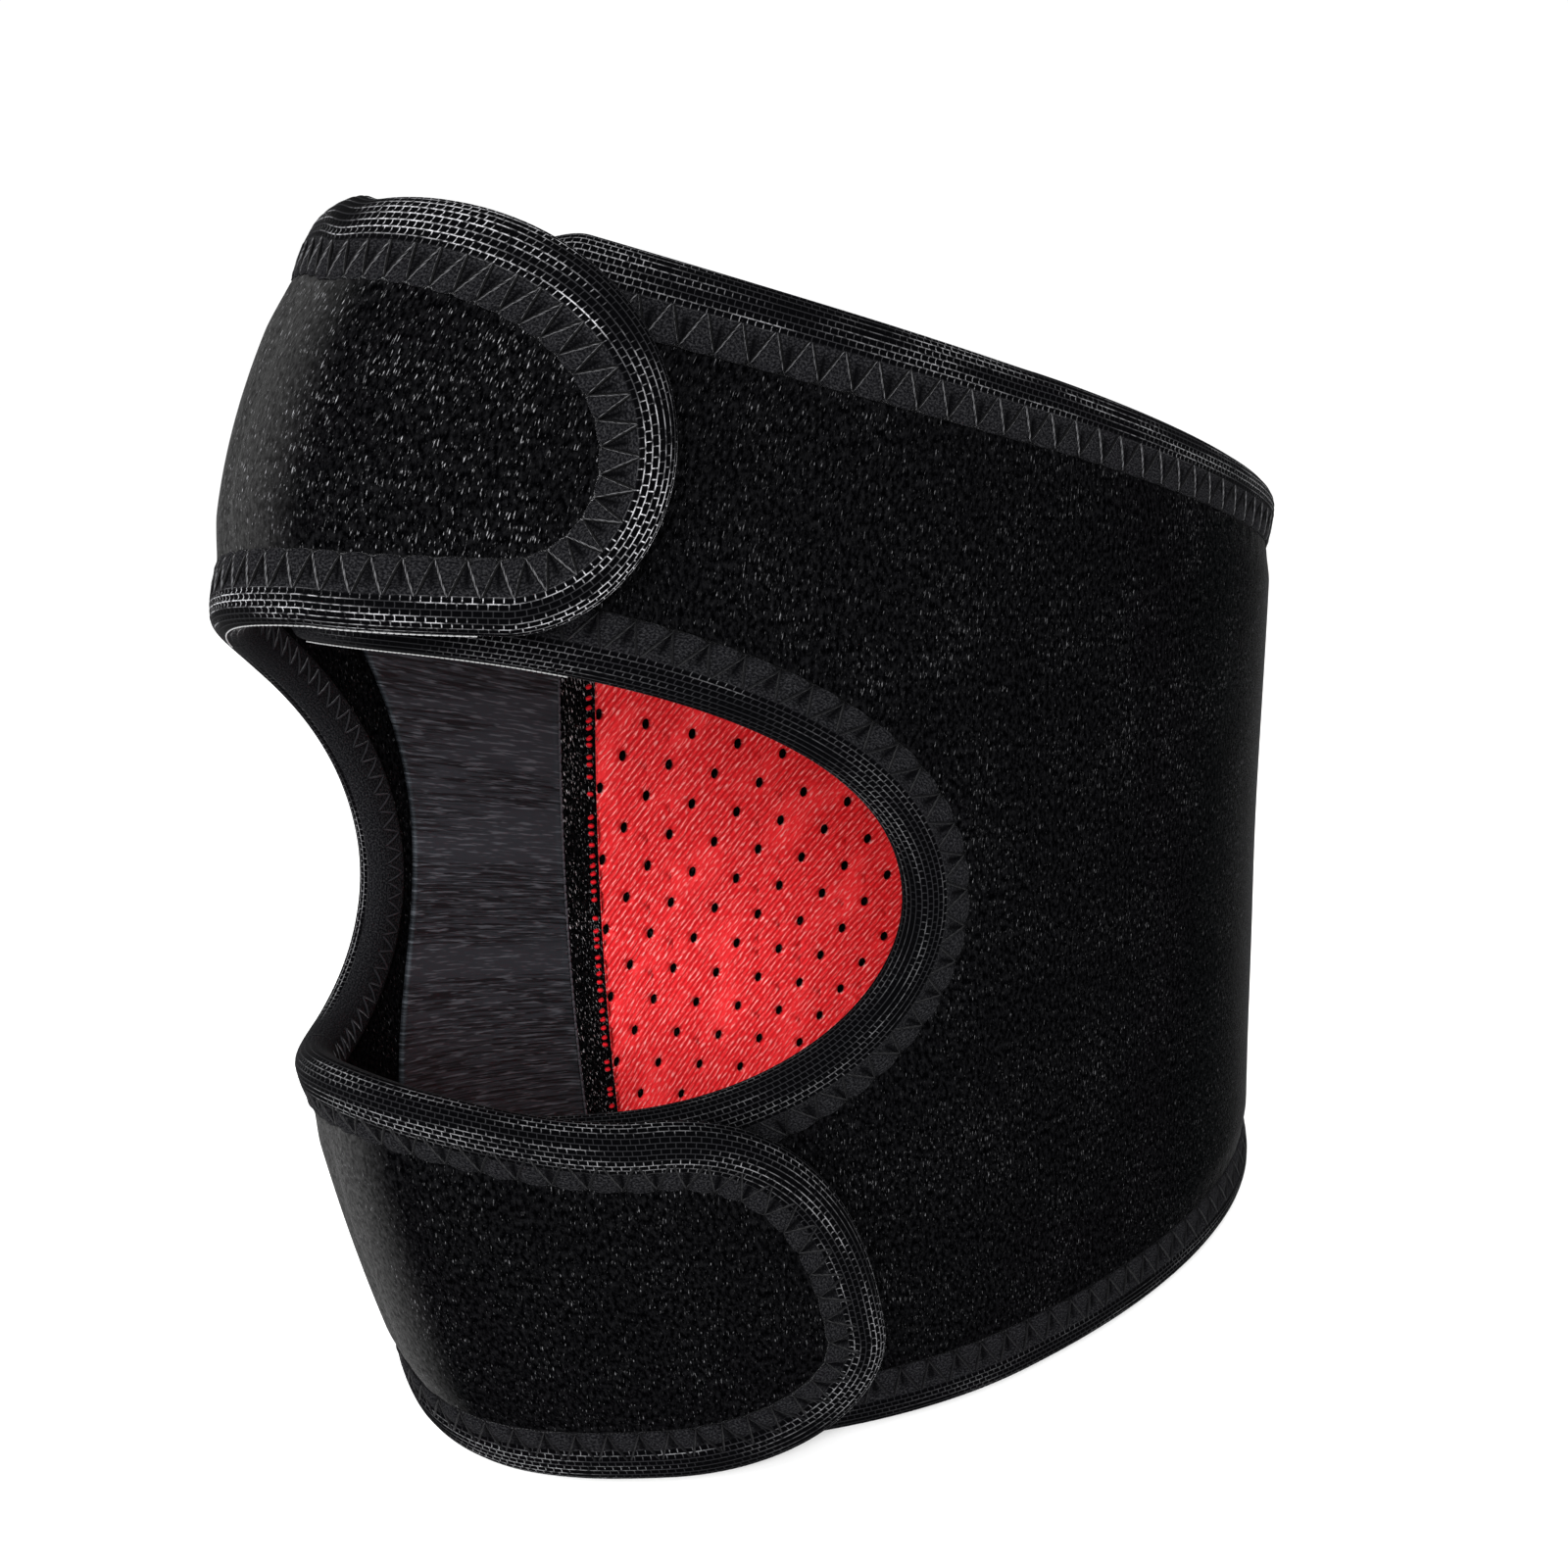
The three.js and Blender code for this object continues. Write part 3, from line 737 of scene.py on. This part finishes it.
def edge_tape(name, lit_tone, lit_start):
    """Black cells between grey threads: lines along the cords, and cross threads like brickwork. The lines
    lie on the cord crests, so they are partly the threads and partly a painted highlight on the crests. Slow
    noise paints a brighter highlight on some stretches, up to lit_tone. The flat part is a plain fine mesh,
    with painted shade in the clefts beside its lobes. Where the tape is worn, near its ends, the cells fade."""
    made, shader = material(name, 0.85, 0.008, 0.01)
    lobe = node(made, "ShaderNodeAttribute", attribute_name="lobe").outputs["Fac"]
    kept = node(made, "ShaderNodeAttribute", attribute_name="kept").outputs["Fac"]
    across = node(made, "ShaderNodeSeparateXYZ", {0: cloth_place(made)}).outputs[1]
    wave = node(made, "ShaderNodeMath", {0: across, 1: cord_pitch / 2}, operation="PINGPONG").outputs[0]
    # The lines lie on the cord crests: partly the threads, partly a painted highlight.
    lines = slope(made, wave, cord_pitch * 0.37, cord_pitch * 0.49)
    bricks = node(made, "ShaderNodeTexBrick",
                  {"Vector": cloth_place(made, start=(0, cord_pitch / 2, 0)), "Scale": 1.0,
                   "Mortar Size": thread_width, "Mortar Smooth": 0.4, "Brick Width": cell_length,
                   "Row Height": cord_pitch}).outputs["Fac"]
    woven = slope(made, grain(made, 14.0, 5.0, 0.0, 2.0), 0.33, 0.52)
    threads = number(made, "MAXIMUM", lines, number(made, "MULTIPLY", bricks, woven))
    # Painted highlight: slow noise lifts some stretches of thread up to the lit tone.
    lit = number(made, "MULTIPLY", slope(made, grain(made, 22.0, 2.2, 0.0, 2.0), lit_start, lit_start + 0.2),
                 slope(made, grain(made, 0.7, 0.3, 0.0, 2.0), 0.34, 0.62))
    thread_tone = two_colours(made, lit, thread_grey, (lit_tone, lit_tone, lit_tone * 1.04))
    ribbed = number(made, "MULTIPLY", slope(made, across, rib_start, rib_start + 0.3),
                    slope(made, across, rib_end + 0.3, rib_end))
    ribbed = number(made, "MULTIPLY", ribbed, kept)
    mesh = grain(made, 0.3, 0.22, 0.0, 2.0, 0.6)
    flat = two_colours(made, slope(made, mesh, 0.4, 0.7), flat_low, flat_high)
    # Painted shade in the clefts beside the lobes, where the lobe attribute is low.
    flat = two_colours(made, lobe, painted_cleft_shade, flat)
    colour = two_colours(made, ribbed, flat, two_colours(made, threads, cell_black, thread_tone))
    height = number(made, "ADD", threads, number(made, "MULTIPLY", mesh, 0.4))
    return finished(made, shader, colour, height, 0.6, 0.00012)


# Three copies of the tape that differ only in the strength of their painted highlight.
strong_highlight_tape = edge_tape("strong_highlight_tape", 0.38, 0.40)
mid_highlight_tape = edge_tape("mid_highlight_tape", 0.17, 0.42)
faint_highlight_tape = edge_tape("faint_highlight_tape", 0.085, 0.44)
print("finishes:", strong_highlight_tape.name, mid_highlight_tape.name, faint_highlight_tape.name)

# %% Tape profile
tape_width, tape_inner_width = 8.0, 5.0
roll = (tape_outer - tape_inner) / 2
roll_middle = (tape_outer + tape_inner) / 2
leg_points, arc_points, foot_points = 40, 56, 8


def tape_profile():
    """The outer leg, half a circle round the edge, and the inner leg. Gives e, d, the outward
    direction in e and d, and the way along the profile."""
    leg = np.linspace(tape_width, roll, leg_points)
    arc = np.linspace(np.pi / 2, 3 * np.pi / 2, arc_points + 2)[1:-1]
    foot = np.linspace(roll, tape_inner_width, foot_points)
    e = np.concatenate([leg, roll + roll * np.cos(arc), foot])
    d = np.concatenate([leg * 0 + tape_outer, roll_middle + roll * np.sin(arc), foot * 0 + tape_inner])
    ne = np.concatenate([leg * 0, np.cos(arc), foot * 0])
    nd = np.concatenate([leg * 0 + 1, np.sin(arc), foot * 0 - 1])
    way = np.concatenate([[0], np.cumsum(np.hypot(np.diff(e), np.diff(d)))])
    return e, d, ne, nd, way


print("round the profile:", round(tape_profile()[4][-1], 2), "mm")

# %% Tapes along every edge
tape_step, end_fade, worn_start, worn_end = 0.5, 6.0, 2.0, 14.0
cord_height, press_depth, border_drop, border_draw = 0.14, 0.62, 0.12, 0.9
tape_bight, back_gap = 0.9, 0.1


def tape_relief(length, pitch, e, way, outer_leg, lobe_height):
    """Height over the plain profile, how far the border draws in, how far each place is clear of the painted
    shade in the clefts between lobes, and how much of the cords is kept. Cords are bumps on the roll. The
    flat part is pressed down and rises in lobes between the stitches, a low power of a sine; its border draws
    in at each stitch. Lobes and cords fade out toward the tape's two ends."""
    from_end = np.minimum(length, length[-1] - length)
    fade, kept = ease(from_end / end_fade), risen(from_end, worn_start, worn_end)
    lobe = np.abs(np.sin(np.pi * length / pitch)) ** 0.45
    ribbed = ease((way - rib_start) / 0.3) * ease((rib_end + 0.3 - way) / 0.3) * kept
    cords = cord_height * (np.abs(np.sin(np.pi * way / cord_pitch)) - 1)
    pressed = -press_depth * ease((e - 3.8) / 2.0) - border_drop * ease((e - 7.1) / 0.9)
    crest = ease((e - 4.6) / 1.6) * (1 - 0.6 * ease(e - 7.0))
    lobes = lobe_height * (lobe - 0.35) * crest * fade
    height = ribbed * cords - (1 - ribbed) * 0.10 + (pressed + lobes) * outer_leg
    drawn = border_draw * (1 - lobe) * ease((e - 5.4) / 2.4) * outer_leg * fade
    # The share left clear of the painted shade in the clefts between lobes.
    clear = 1 - fade * ease((0.86 - lobe) / 0.5) * ease((e - 4.4) / 1.2) * outer_leg
    return height, drawn, clear, kept + 0 * height


def tape(name, runs, face, pitch, finish, lobe_height=0.38, rib_shift=0.0):
    """Carries the profile along the runs, closes it on the cloth's side and caps both ends.
    A rib shift widens the ribbed part at the flat part's cost."""
    e, d, ne, nd, way = tape_profile()
    way = way + rib_shift
    s, z = lay(runs, np.array([4.0]), tape_step)
    length = along(s[:, 0], z[:, 0])[:, None]
    outer_leg = np.where(np.arange(len(e)) < leg_points, 1.0, 0.0)
    height, drawn, clear, kept = tape_relief(length, pitch, e[None], way[None], outer_leg[None], lobe_height)
    back_e = np.array([tape_inner_width, tape_bight, tape_bight, tape_width])
    back_d = np.array([-wall - back_gap, -wall - back_gap, back_gap, back_gap])
    reach = np.concatenate([e + ne * height - drawn, np.repeat(back_e[None], len(s), 0)], 1)
    out = np.concatenate([d + nd * height, np.repeat(back_d[None], len(s), 0)], 1)
    s, z = lay(runs, reach, tape_step)
    points = ring(s, np.maximum(z, 0), face(s) + out).reshape(-1, 3)
    count, size = s.shape
    index = np.arange(count * size).reshape(count, size)
    triangles = grid_triangles(np.concatenate([index, index[:, :1]], 1))
    turned = outward(points, triangles)
    flipped = bool((turned[0] != triangles[0]).any())
    first, last = index[0].tolist(), index[-1].tolist()
    faces = turned.tolist() + [first if flipped else first[::-1], last[::-1] if flipped else last]
    across = np.concatenate([way, np.full(4, way[-1])])
    uv = np.stack([np.repeat(length, size, 1), np.repeat(across[None], count, 0)], -1).reshape(-1, 2)
    piece = add_piece(name.replace("binding", "tape"), points, faces, uv, finish)
    # The lobe attribute carries the painted cleft shade to the finish.
    for attribute, values in (("lobe", clear), ("kept", kept)):
        values = np.concatenate([values, np.ones((count, 4))], 1).astype(np.float32)
        piece.data.attributes.new(attribute, "FLOAT", "POINT").data.foreach_set("value", values.ravel())
    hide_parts(name)
    return piece


tape_looks = {
    "top_binding": (mid_highlight_tape,), "bottom_binding": (faint_highlight_tape,), "near_notch_binding": (faint_highlight_tape, 0.34),
    "far_notch_binding": (mid_highlight_tape, 0.38, 1.6), "upper_tab_binding": (strong_highlight_tape,),
    "lower_tab_binding": (mid_highlight_tape, 0.60, 1.2)}
for name, values in edge_runs.items():
    tape(name, *values, *tape_looks[name])

# %% [markdown]
# ## Zigzag seams
# A zigzag of thread holds the tape's flat part down, on both faces of the cloth. Each stitch is a
# short thread that is thickest in its middle and dives into the cloth at both ends. All the stitches
# of a seam are one mesh: copies of thirty points, placed with whole arrays.

# %% Threads
flank_start, flank_end, flank_soft = 0.3, 1.2, 0.25


def thread_finish(name, colour, lit, gloss=0.05):
    """A twisted thread: slanting bands of shade, and a lit flank along its upper side. The first UV
    value is the way along in millimetres and the second the angle round the thread."""
    made, shader = material(name, 0.6, 0.0, gloss)
    place = cloth_place(made)
    around = node(made, "ShaderNodeSeparateXYZ", {0: place}).outputs[1]
    flank = number(made, "MULTIPLY", slope(made, around, flank_start - flank_soft, flank_start),
                   slope(made, around, flank_end + flank_soft, flank_end))
    twist = slope(made, grain(made, 0.35, 2.0, 0.6, 1.0), 0.35, 0.65)
    shade = two_colours(made, twist, tuple(c * 0.4 for c in colour), colour)
    # The twist bands are painted shade and the lit flank is a painted highlight.
    bright = two_colours(made, twist, shade, (lit, lit, lit * 1.05))
    return finished(made, shader, two_colours(made, flank, shade, bright), twist, 0.5, 0.00006)


# Copies of one thread that differ in their painted highlight; the lit thread's paler colour is painted light
# too.
black_thread = thread_finish("black_thread", (0.0009, 0.0009, 0.0012), 0.10)
faint_highlight_thread = thread_finish("faint_highlight_thread", (0.0030, 0.0030, 0.0036), 0.022)
lit_thread = thread_finish("lit_thread", (0.020, 0.020, 0.023), 0.26)
print("threads ready")

# %% Stitches
def stitches(name, start, end, radius, bulge, finish):
    """Rings of six round a line from start to end, thin at both ends, lifted out in the middle."""
    axis = end - start
    size = np.linalg.norm(axis, axis=1, keepdims=True)
    axis = axis / size
    outside = (start + end) / 2 * np.array([1, 1, 0])
    outside /= np.linalg.norm(outside, axis=1, keepdims=True)
    side = np.cross(axis, outside)
    side /= np.linalg.norm(side, axis=1, keepdims=True)
    over = np.cross(side, axis)
    t = np.array([0.0, 0.12, 0.5, 0.88, 1.0])
    thick = np.array([0.2, 0.85, 1.0, 0.85, 0.2]) * radius
    turn = np.arange(6) * np.pi / 3
    centre = (start[:, None] + (end - start)[:, None] * t[None, :, None]
              + outside[:, None] * (4 * t * (1 - t))[None, :, None] * bulge)
    spread = (side[:, None, None] * np.cos(turn)[None, None, :, None]
              + over[:, None, None] * np.sin(turn)[None, None, :, None])
    points = (centre[:, :, None] + spread * thick[None, :, None, None]).reshape(-1, 3)
    ring_index = np.arange(30).reshape(5, 6)
    one = grid_triangles(np.concatenate([ring_index, ring_index[:, :1]], 1))
    fan = np.array([[0, 2, 1], [0, 3, 2], [0, 4, 3], [0, 5, 4]])
    one = np.concatenate([one, fan, 24 + fan[:, ::-1]])
    one = outward(points[:30] - points[:30].mean(0), one)
    faces = (one[None] + 30 * np.arange(len(start))[:, None, None]).reshape(-1, 3)
    ways = size / MM * t[None]
    uv = np.stack([np.repeat(ways.ravel(), 6), np.tile(turn, 5 * len(start))], -1)
    piece = add_piece(name, points, faces.tolist(), uv, finish)
    return piece


def zigzag(name, runs, face, pitch, ways, depths, radius, bulge, finish):
    """Stitches between two lines e = ways, at depths d, with one turn each half pitch."""
    s, z = lay(runs, np.array([4.0, *ways]), 0.2)
    length = along(s[:, 0], z[:, 0])
    marks = np.arange(0, length[-1], pitch / 2)
    odd = np.arange(len(marks)) % 2
    hole_s = np.where(odd, np.interp(marks, length, s[:, 1]), np.interp(marks, length, s[:, 2]))
    hole_z = np.where(odd, np.interp(marks, length, z[:, 1]), np.interp(marks, length, z[:, 2]))
    points = ring(hole_s, hole_z, face(hole_s) + np.where(odd, *depths))
    return stitches(name, points[:-1], points[1:], radius * MM, bulge * MM, finish)


outside_ways, outside_depths, outside_bulge = (3.8, 7.7), (0.92, 0.24), 0.10
inside_ways, inside_depths, inside_bulge = (1.5, 4.5), (-3.72, -3.92), -0.16
outside_radius, inside_radius = 0.19, 0.14
seam_threads = {"top_binding": black_thread, "far_notch_binding": black_thread,
                "upper_tab_binding": black_thread}
inside_threads = {"far_notch_binding": lit_thread}
for tape_name, (runs, face, pitch) in edge_runs.items():
    seam_name = tape_name.replace("binding", "seam")
    zigzag(seam_name, runs, face, pitch, outside_ways, outside_depths, outside_radius, outside_bulge,
           seam_threads.get(tape_name, faint_highlight_thread))
    zigzag(seam_name + "_inside", runs, face, pitch, inside_ways, inside_depths, inside_radius,
           inside_bulge, inside_threads.get(tape_name, black_thread))

# %% [markdown]
# ## Red lining
# The lining is a red knit with rows of small holes, each row set half a step from the next. It is
# laid like bricks: every brick has one hole in its middle, and neighbouring bricks share the points
# on their sides, so the whole lining is one sheet that is really pierced. Points beyond the cut edge
# are moved onto it. Cutting each hole with a Boolean would be slow and leave ragged triangles.

# %% Lining finish
rib_slant, knit_pitch = -0.68, 0.98
knit_streak_and_shade, knit_plain, knit_highlight = (0.52, 0.010, 0.014), (0.86, 0.034, 0.040), (1.0, 0.40, 0.38)


def red_knit():
    """Fine slanting ribs of the knit, one each knit pitch, broken up by noise. The ribs are sunk grooves in a
    deeper red, partly the knit's streaks and partly painted shade, and in some patches short painted
    highlights lie across the raised knit between them."""
    made, shader = material("red_knit", 0.75, 0.05, 0.05)
    shader.inputs["Sheen Tint"].default_value = (1.0, 0.4, 0.38, 1)
    across = node(made, "ShaderNodeSeparateXYZ", {0: cloth_place(made, turn=rib_slant)}).outputs[1]
    wander = number(made, "ADD", across, number(made, "MULTIPLY", grain(made, 9.0, 4.0, rib_slant), 0.8))
    wave = node(made, "ShaderNodeMath", {0: wander, 1: knit_pitch / 2}, operation="PINGPONG").outputs[0]
    ribs = slope(made, wave, knit_pitch * 0.05, knit_pitch * 0.45)
    strong = slope(made, grain(made, 12.0, 9.0, rib_slant, 2.0), 0.30, 0.52)
    fine = grain(made, 1.3, 0.34, rib_slant, 2.0)
    # The sunk ribs are a deeper red: the knit's streaks, with painted shade in the grooves.
    base = two_colours(made, number(made, "MULTIPLY", ribs, strong), knit_plain, knit_streak_and_shade)
    # Painted highlight on the raised knit between the ribs, tinted like the sheen.
    lit = number(made, "MULTIPLY", slope(made, fine, 0.48, 0.68), number(made, "SUBTRACT", 1.0, ribs))
    colour = two_colours(made, lit, base, knit_highlight)
    height = number(made, "SUBTRACT", fine, number(made, "MULTIPLY", ribs, 0.6))
    return finished(made, shader, colour, height, 0.6, 0.0002)


red_finish = red_knit()
print("finish:", red_finish.name)

# %% Pierced lining
lining_face, lining_thickness, lining_foot = -wall - piece_gap, 0.7, tape_inner_width + piece_gap
lining_near_end = 92.0
first_hole = np.array([round_length - 80.8, 79.4])
hole_step, row_step = np.array([-8.6, -3.1]), np.array([0.6, -5.83])
hole_half = np.array([0.85, 1.0])


def lining_outer(s, z):
    """The face that lies on the wrap: the wrap's face and the lining's place under it."""
    return wrap_face(s) + lining_face


def lining_inner(s, z):
    """The face toward the leg, the lining's thickness further in."""
    return wrap_face(s) + lining_face - lining_thickness


def lining_edge(z):
    """The lining's straight slanting edge beside the strip."""
    return round_length - 71.6 - 0.107 * z


def bricks(columns, rows):
    """Sheared bricks about every hole: hole points, a ring between, and side points, sixteen each."""
    column, row = (part.ravel()[:, None] for part in np.meshgrid(columns, rows, indexing="ij"))
    sides = np.array([(1, 1), (0.5, 1), (0, 1), (-0.5, 1), (-1, 1), (-1, 0.5), (-1, 0), (-1, -0.5),
                      (-1, -1), (-0.5, -1), (0, -1), (0.5, -1), (1, -1), (1, -0.5), (1, 0), (1, 0.5)]) / 2
    x, y = column + 0.5 * (row % 2), row + 0.0
    middle = first_hole + x[..., None] * hole_step + y[..., None] * row_step
    outer = middle + sides[None, :, :1] * hole_step + sides[None, :, 1:] * row_step
    away = outer - middle
    turn = np.arctan2(away[..., 1] / hole_half[1], away[..., 0] / hole_half[0])
    hole = middle + np.stack([np.cos(turn) * hole_half[0], np.sin(turn) * hole_half[1]], -1)
    return np.stack([hole, mix(hole, outer, 0.3), outer], 1)


def onto(s, z):
    """Moves places beyond the lining's outline onto it."""
    z = np.clip(z, lining_foot, top_edge(np.clip(s, 1, round_length)) - lining_foot)
    return np.clip(s, lining_near_end, lining_edge(z)), z


def pierced_lining():
    """Lays bricks over the whole lining, keeps those within 8 mm of it, and moves onto its outline
    the places that lie beyond it."""
    places = bricks(np.arange(-3, 30), np.arange(-30, 24))
    middle = places.mean((1, 2))
    inside_s, inside_z = onto(middle[:, 0], middle[:, 1])
    near = np.hypot(inside_s - middle[:, 0], inside_z - middle[:, 1]) < 8
    s, z = onto(places[near][..., 0], places[near][..., 1])
    index = np.arange(s.size).reshape(s.shape)
    triangles = grid_triangles(np.concatenate([index, index[..., :1]], 2))
    print("bricks:", len(s))
    return two_faced("pierced_red_lining", np.stack([s.ravel(), z.ravel()], -1), triangles,
                     lining_outer, lining_inner, red_finish)


red = pierced_lining()
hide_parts("red_lining")

# %% [markdown]
# ## Grip panel and the strip beside it
# The panel is a dark grey cloth with fine ribs at a low slant, stronger below a slanting
# line, and its edge is turned over. A black strip of loop cloth, under 7 mm wide, joins it to the
# lining. A sheet is declared from 10 mm wide, so the strip is named as a piece on the panel's sheet.

# %% Grip panel
panel_grey, panel_dark = (0.0178, 0.0205, 0.0248), (0.0030, 0.0036, 0.0046)
panel_pale = (0.056, 0.061, 0.070)
strong_rib_back, strong_rib_height, strong_rib_slope, panel_slant = round_length - 66.5, 31.6, 0.226, 0.31
panel_hem, hem_middle, hem_width, strip_gap = 0.22, 0.5, 0.6, 0.15


def ribbed_grey():
    """Fine ribs along the knit's slant that come and go in long patches, paler threads among them, and ribs
    that are dark at full strength everywhere under a slanting line."""
    made, shader = material("ribbed_grey", 0.62, 0.0, 0.12)
    ribs = grain(made, 12.0, 0.40, panel_slant, 3.0, 0.6)
    split = node(made, "ShaderNodeSeparateXYZ", {0: cloth_place(made)})
    slant = number(made, "MULTIPLY", number(made, "SUBTRACT", split.outputs[0], strong_rib_back), strong_rib_slope)
    # Below a slanting line the ribs are dark at full strength.
    below = slope(made, number(made, "SUBTRACT", split.outputs[1], slant), strong_rib_height, strong_rib_height - 0.8)
    patches = slope(made, grain(made, 70.0, 6.0, panel_slant, 2.0), 0.38, 0.52)
    strong = number(made, "MAXIMUM", below, number(made, "MULTIPLY", patches, 0.9))
    rib = number(made, "MULTIPLY", slope(made, ribs, 0.45, 0.56), strong)
    pale = slope(made, grain(made, 5.0, 0.40, panel_slant, 2.0, 0.6), 0.53, 0.66)
    colour = two_colours(made, pale, two_colours(made, rib, panel_grey, panel_dark), panel_pale)
    speck = slope(made, grain(made, 0.5, 0.35, 0.0, 3.0, 0.7), 0.74, 0.82)
    colour = two_colours(made, speck, colour, (0.16, 0.16, 0.175))
    return finished(made, shader, colour, rib, 0.5, 0.0002)


def panel(name, left, right, columns, finish, node_name, hem=0.0):
    """A grid between two slanting edges whose height follows the upper rim above each place. A hem
    raises the inner face along the left edge."""
    u = np.linspace(0, 1, columns + 1)[:, None]
    share = np.linspace(0, 1, 91)[None, :]
    z = np.full((columns + 1, 91), window_axis)
    for _ in range(6):
        s = mix(left(z), right(z), u)
        z = mix(lining_foot, top_edge(s) - lining_foot, share)

    def hemmed(s, z):
        return lining_inner(s, z) - hem * ease(1 - np.abs(s - left(z) - hem_middle) / hem_width)

    piece = cloth(name, [(s, z)], lining_outer, hemmed, finish)
    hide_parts(node_name)
    return piece


def grip_left(z):
    """Bends forward above and below, by less and less toward the rims."""
    rise = ((z - 76) / 44.6) ** 2
    return round_length - 44.1 + 24 * rise / np.hypot(1, rise)


def grip_right(z):
    """The panel's straight slanting edge beside the strip."""
    return round_length - 64.4 - 0.111 * z


grey_finish = ribbed_grey()
grip = panel("ribbed_grip_panel", grip_right, grip_left, 60, grey_finish, "grip_panel",
             panel_hem)

# %% Looped strip
strip = panel("seam_strip_cloth", lambda z: lining_edge(z) + strip_gap, lambda z: grip_right(z) - strip_gap,
              12, strip_loops, "seam_strip")

# %% Red stitch heads beside the lining
red_thread = thread_finish("red_thread", (0.62, 0.012, 0.020), 0.62)
strip_face = lining_face - lining_thickness - 0.05
head_pitch, head_low, head_high = 1.55, 8.0, 122.0
head_start, head_end, head_radius = 0.95, 1.95, 0.40
chance = np.random.default_rng(7)
head_z = np.arange(head_low, head_high, head_pitch)
head_z = head_z + chance.uniform(-0.3, 0.3, len(head_z))
head_z = head_z[chance.random(len(head_z)) < 0.88]
head_rise = chance.uniform(-0.4, 0.4, len(head_z))
near_s, far_s = lining_edge(head_z) + head_start, lining_edge(head_z) + head_end
stitches("lining_selvedge", ring(near_s, head_z, wrap_face(near_s) + strip_face),
         ring(far_s, head_z + head_rise, wrap_face(far_s) + strip_face),
         head_radius * MM, -0.12 * MM, red_thread)

# %% [markdown]
# ## Small things
# A thin pale thread is laid along the under edge of the upper strap and of the wrap's tape behind it: a
# painted highlight where light catches the rim. The hidden hook patches under the straps keep their plain
# solids with a cloth finish.

# %% Painted rim highlights
# A pale thread painted where light catches the rims: a painted highlight.
rim_highlight_thread = thread_finish("rim_highlight_thread", (0.40, 0.40, 0.40), 0.50)
under_way, under_depth, under_radius = 0.06, -0.62, 0.08


def painted_rim_highlight(name, start, end, height, face):
    """A pale thread laid on the roll of a tape, where its outline shows from a little above: a painted
    highlight along the rim.
    """
    s = np.linspace(start, end, 60)
    points = ring(s, height(s, under_way), face(s) + under_depth)
    return stitches(name, points[:-1], points[1:], under_radius * MM, 0.0, rim_highlight_thread)


painted_rim_highlight("strap_rim_highlight", strap_start, 33.0, upper_low, strap_face)
painted_rim_highlight("near_edge_rim_highlight", 8.6, 42.0, near_top, wrap_face)

# %% Turned edge of the panel
edge_thread = thread_finish("edge_thread", (0.060, 0.055, 0.066), 0.10)
edge_z = np.linspace(8.0, 122.0, 90)
edge_s = grip_right(edge_z) + strip_gap
edge_line = ring(edge_s, edge_z, lining_inner(edge_s, edge_z) - panel_hem)
stitches("panel_edge_thread", edge_line[:-1], edge_line[1:], 0.2 * MM, 0.0, edge_thread)

# %% Hidden hook patches
def hook_cloth():
    """A fine grid of small dark hooks, read on Object coordinates because the solid has no UV."""
    made, shader = material("hook_cloth", 0.6, 0.0, 0.2)
    place = node(made, "ShaderNodeTexCoord").outputs["Object"]
    dots = node(made, "ShaderNodeTexVoronoi", {"Vector": place, "Scale": 900.0}).outputs["Distance"]
    colour = two_colours(made, dots, (0.03, 0.03, 0.032), (0.006, 0.006, 0.007))
    return finished(made, shader, colour, dots, 0.6, 0.0003)


hook_finish = hook_cloth()
for name in ("hook_patch_upper", "hook_patch_lower"):
    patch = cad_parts[name]
    patch.data.materials.clear()
    patch.data.materials.append(hook_finish)
print("hook patches finished")
